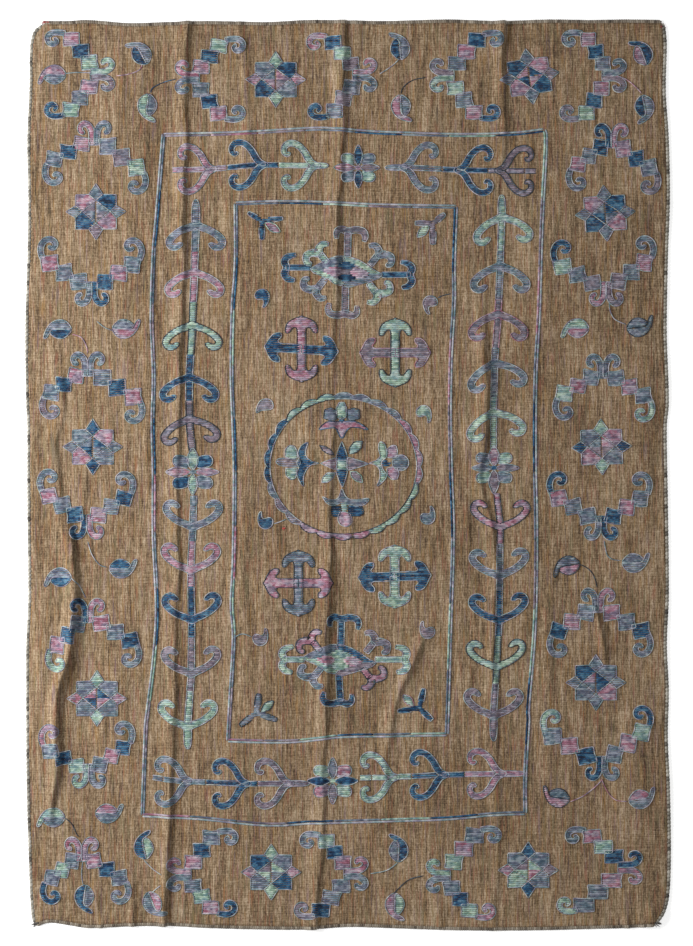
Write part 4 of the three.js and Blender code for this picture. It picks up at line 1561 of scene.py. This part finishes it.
def bands(nodes, direction, pitch, drawn_out, distortion):
    """Even soft bands with a wandering course, as yarns lie in a weave. Sizes in millimetres."""
    place = add(nodes, "ShaderNodeTexCoord").outputs["Object"]
    scale = [1000 / pitch, 1000 / drawn_out, 1]
    if direction == "Y":
        scale = [1000 / drawn_out, 1000 / pitch, 1]
    moved = add(nodes, "ShaderNodeMapping", {"Vector": place, "Scale": scale})
    vector = moved.outputs["Vector"]
    inputs = {"Vector": vector, "Scale": ONE_BAND_A_UNIT, "Distortion": distortion, "Detail": 1.5}
    made = add(nodes, "ShaderNodeTexWave", inputs, bands_direction=direction)
    return made.outputs["Fac"]


def ground_wool():
    material, nodes, shader = new_material("handspun_brown_kilim_wool", 0.95, 0.08)
    yarn = noise(nodes, (2.8, 24, 40), 3.0)
    skein = noise(nodes, (7, 90, 60), 2.0, (3, 1, 0))
    streak = noise(nodes, (16, 170, 60), 2.0, (2, 6, 0))
    broad = noise(nodes, (70, 260, 80), 2.0, (7, 5, 0))
    weft = noise(nodes, (60, 3.2, 40), 2.0, (1, 9, 0))
    speck = noise(nodes, (2.6, 4.2, 8), 2.0, (5, 2, 0))
    warp_rib = bands(nodes, "X", 5.3, 26, 9)
    weft_rib = bands(nodes, "Y", 4.3, 14, 8)
    total = stretched(nodes, yarn, 0.0, 1.0, 0.12, 0.88)
    for part, amount in ((skein, 0.11), (streak, 0.07), (broad, 0.08), (weft, 0.05), (speck, 0.14)):
        shift = stretched(nodes, part, 0.3, 0.7, -amount, amount)
        total = add(nodes, "ShaderNodeMath", {0: total, 1: shift}, operation="ADD").outputs["Value"]
    for part, amount in ((warp_rib, 0.055), (weft_rib, 0.045)):
        shift = stretched(nodes, part, 0.0, 1.0, -amount, amount)
        total = add(nodes, "ShaderNodeMath", {0: total, 1: shift}, operation="ADD").outputs["Value"]
    brown = ramp(nodes, total, [(0.16, "#433427"), (0.36, "#68543E"), (0.5, "#826C52"), (0.64, "#9A846A"),
                                (0.86, "#B9A48A")])
    tints = (
        ((3.2, 60, 40), (11, 3, 0), "#96703C", 0.57, 0.69, 0.45),
        ((3.0, 50, 40), (19, 8, 0), "#8B5442", 0.57, 0.70, 0.5),
        ((4.0, 80, 40), (23, 4, 0), "#7F6A72", 0.60, 0.72, 0.4),
        ((5.0, 90, 40), (29, 6, 0), "#726C4E", 0.58, 0.72, 0.45),
    )
    for pitch, offset, tint, low, high, amount in tints:
        share = stretched(nodes, noise(nodes, pitch, 1.0, offset), low, high, 0.0, amount)
        brown = mix_colour(nodes, share, brown, linear(tint))
    material.node_tree.links.new(brown, shader.inputs["Base Color"])
    rib = add(nodes, "ShaderNodeBump", {"Height": total, "Strength": 0.7, "Distance": 0.0012})
    knot = add(nodes, "ShaderNodeBump", {"Height": speck, "Strength": 0.35, "Distance": 0.0008,
                                         "Normal": rib.outputs["Normal"]})
    material.node_tree.links.new(knot.outputs["Normal"], shader.inputs["Normal"])
    return material


panel.data.materials.append(ground_wool())

# %% [markdown]
# The overcasting yarn is thicker and paler than the ground, a grey-beige fleece spun hard. The tone that was
# stored with each bead darkens its grooves: painted shade, with some dust in it.

# %% Edging wool
def edging_wool(name, stops):
    material, nodes, _ = new_material(name, 0.95, 0.2)
    base = ramp(nodes, toned_shade(nodes, (30, 30, 30), 0.14), stops)
    twist(material, base, (1.6, 1.6, 1.6), 0.75, 1.15, (1.2, 1.2, 1.2))
    return material


pale_stops = [(0.15, "#39342E"), (0.4, "#6E695F"), (0.65, "#918C80"), (0.9, "#AFAA9F")]
brown_stops = [(0.15, "#42392F"), (0.4, "#6B6053"), (0.65, "#857A6B"), (0.9, "#9D9384")]
pale_overcasting = edging_wool("overcast_grey_beige_wool", pale_stops)
brown_overcasting = edging_wool("overcast_brown_wool", brown_stops)
for name, piece in edgings.items():
    piece.data.materials.append(pale_overcasting if name in ("left", "right") else brown_overcasting)
red_yarn = edging_wool("tuft_red_wool", [(0.1, "#5C1F1F"), (0.5, "#8C3230"), (0.9, "#A4504A")])
dark_yarn = edging_wool("tuft_dark_wool", [(0.1, "#22201E"), (0.5, "#45403B"), (0.9, "#6B645C")])
for piece in tufts:
    piece.data.materials.append(dark_yarn if piece.name.startswith("tuft_lower") else red_yarn)

# %% [markdown]
# The photo was taken on a white floor, under one broad soft light from the left. A low area
# lamp on that side makes each fold throw a thin shadow to its right, and its fall-off darkens
# the right half of the rug as in the photo. A pale sky fills the shadows.

# %% Floor and light
deselect_all()
bpy.ops.mesh.primitive_plane_add(size=7, location=(0, 0, 0))
floor = bpy.context.object
floor.name = "pale_floor"
floor_material, _, floor_shader = new_material("matt_white_floor", 0.9, 0.0)
floor_shader.inputs["Base Color"].default_value = linear("#F4F3F1")
floor_shader.inputs["Emission Color"].default_value = linear("#FFFFFF")
floor_shader.inputs["Emission Strength"].default_value = 0.5
floor.data.materials.append(floor_material)


def area_light(name, x, y, z, size, power):
    """A square lamp, turned to face the middle of the rug."""
    deselect_all()
    bpy.ops.object.light_add(type="AREA", location=(x, y, z))
    light = bpy.context.object
    light.name = name
    light.data.shape = "SQUARE"
    light.data.size = size
    light.data.energy = power
    light.rotation_euler = (0, -math.atan2(math.hypot(x, y), z), math.atan2(-y, -x))


area_light("window_light_left", -2.6, 0.3, 1.45, 1.3, 118)
area_light("soft_fill_above", 0.3, -0.4, 3.4, 3.0, 26)

world = bpy.data.worlds.new("pale_studio")
bpy.context.scene.world = world
world.use_nodes = True
world.node_tree.nodes["Background"].inputs["Color"].default_value = linear("#F2F4F7")
world.node_tree.nodes["Background"].inputs["Strength"].default_value = 0.3
bpy.context.scene.view_settings.view_transform = "Standard"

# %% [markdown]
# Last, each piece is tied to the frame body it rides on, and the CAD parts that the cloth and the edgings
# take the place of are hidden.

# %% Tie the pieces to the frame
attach(panel, "root")
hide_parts("kilim_panel")
for name, piece in edgings.items():
    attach(piece, "root")
    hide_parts("edging_" + name)
for piece in tufts:
    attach(piece, "root")
for piece in embroidery.values():
    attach(piece, "root")
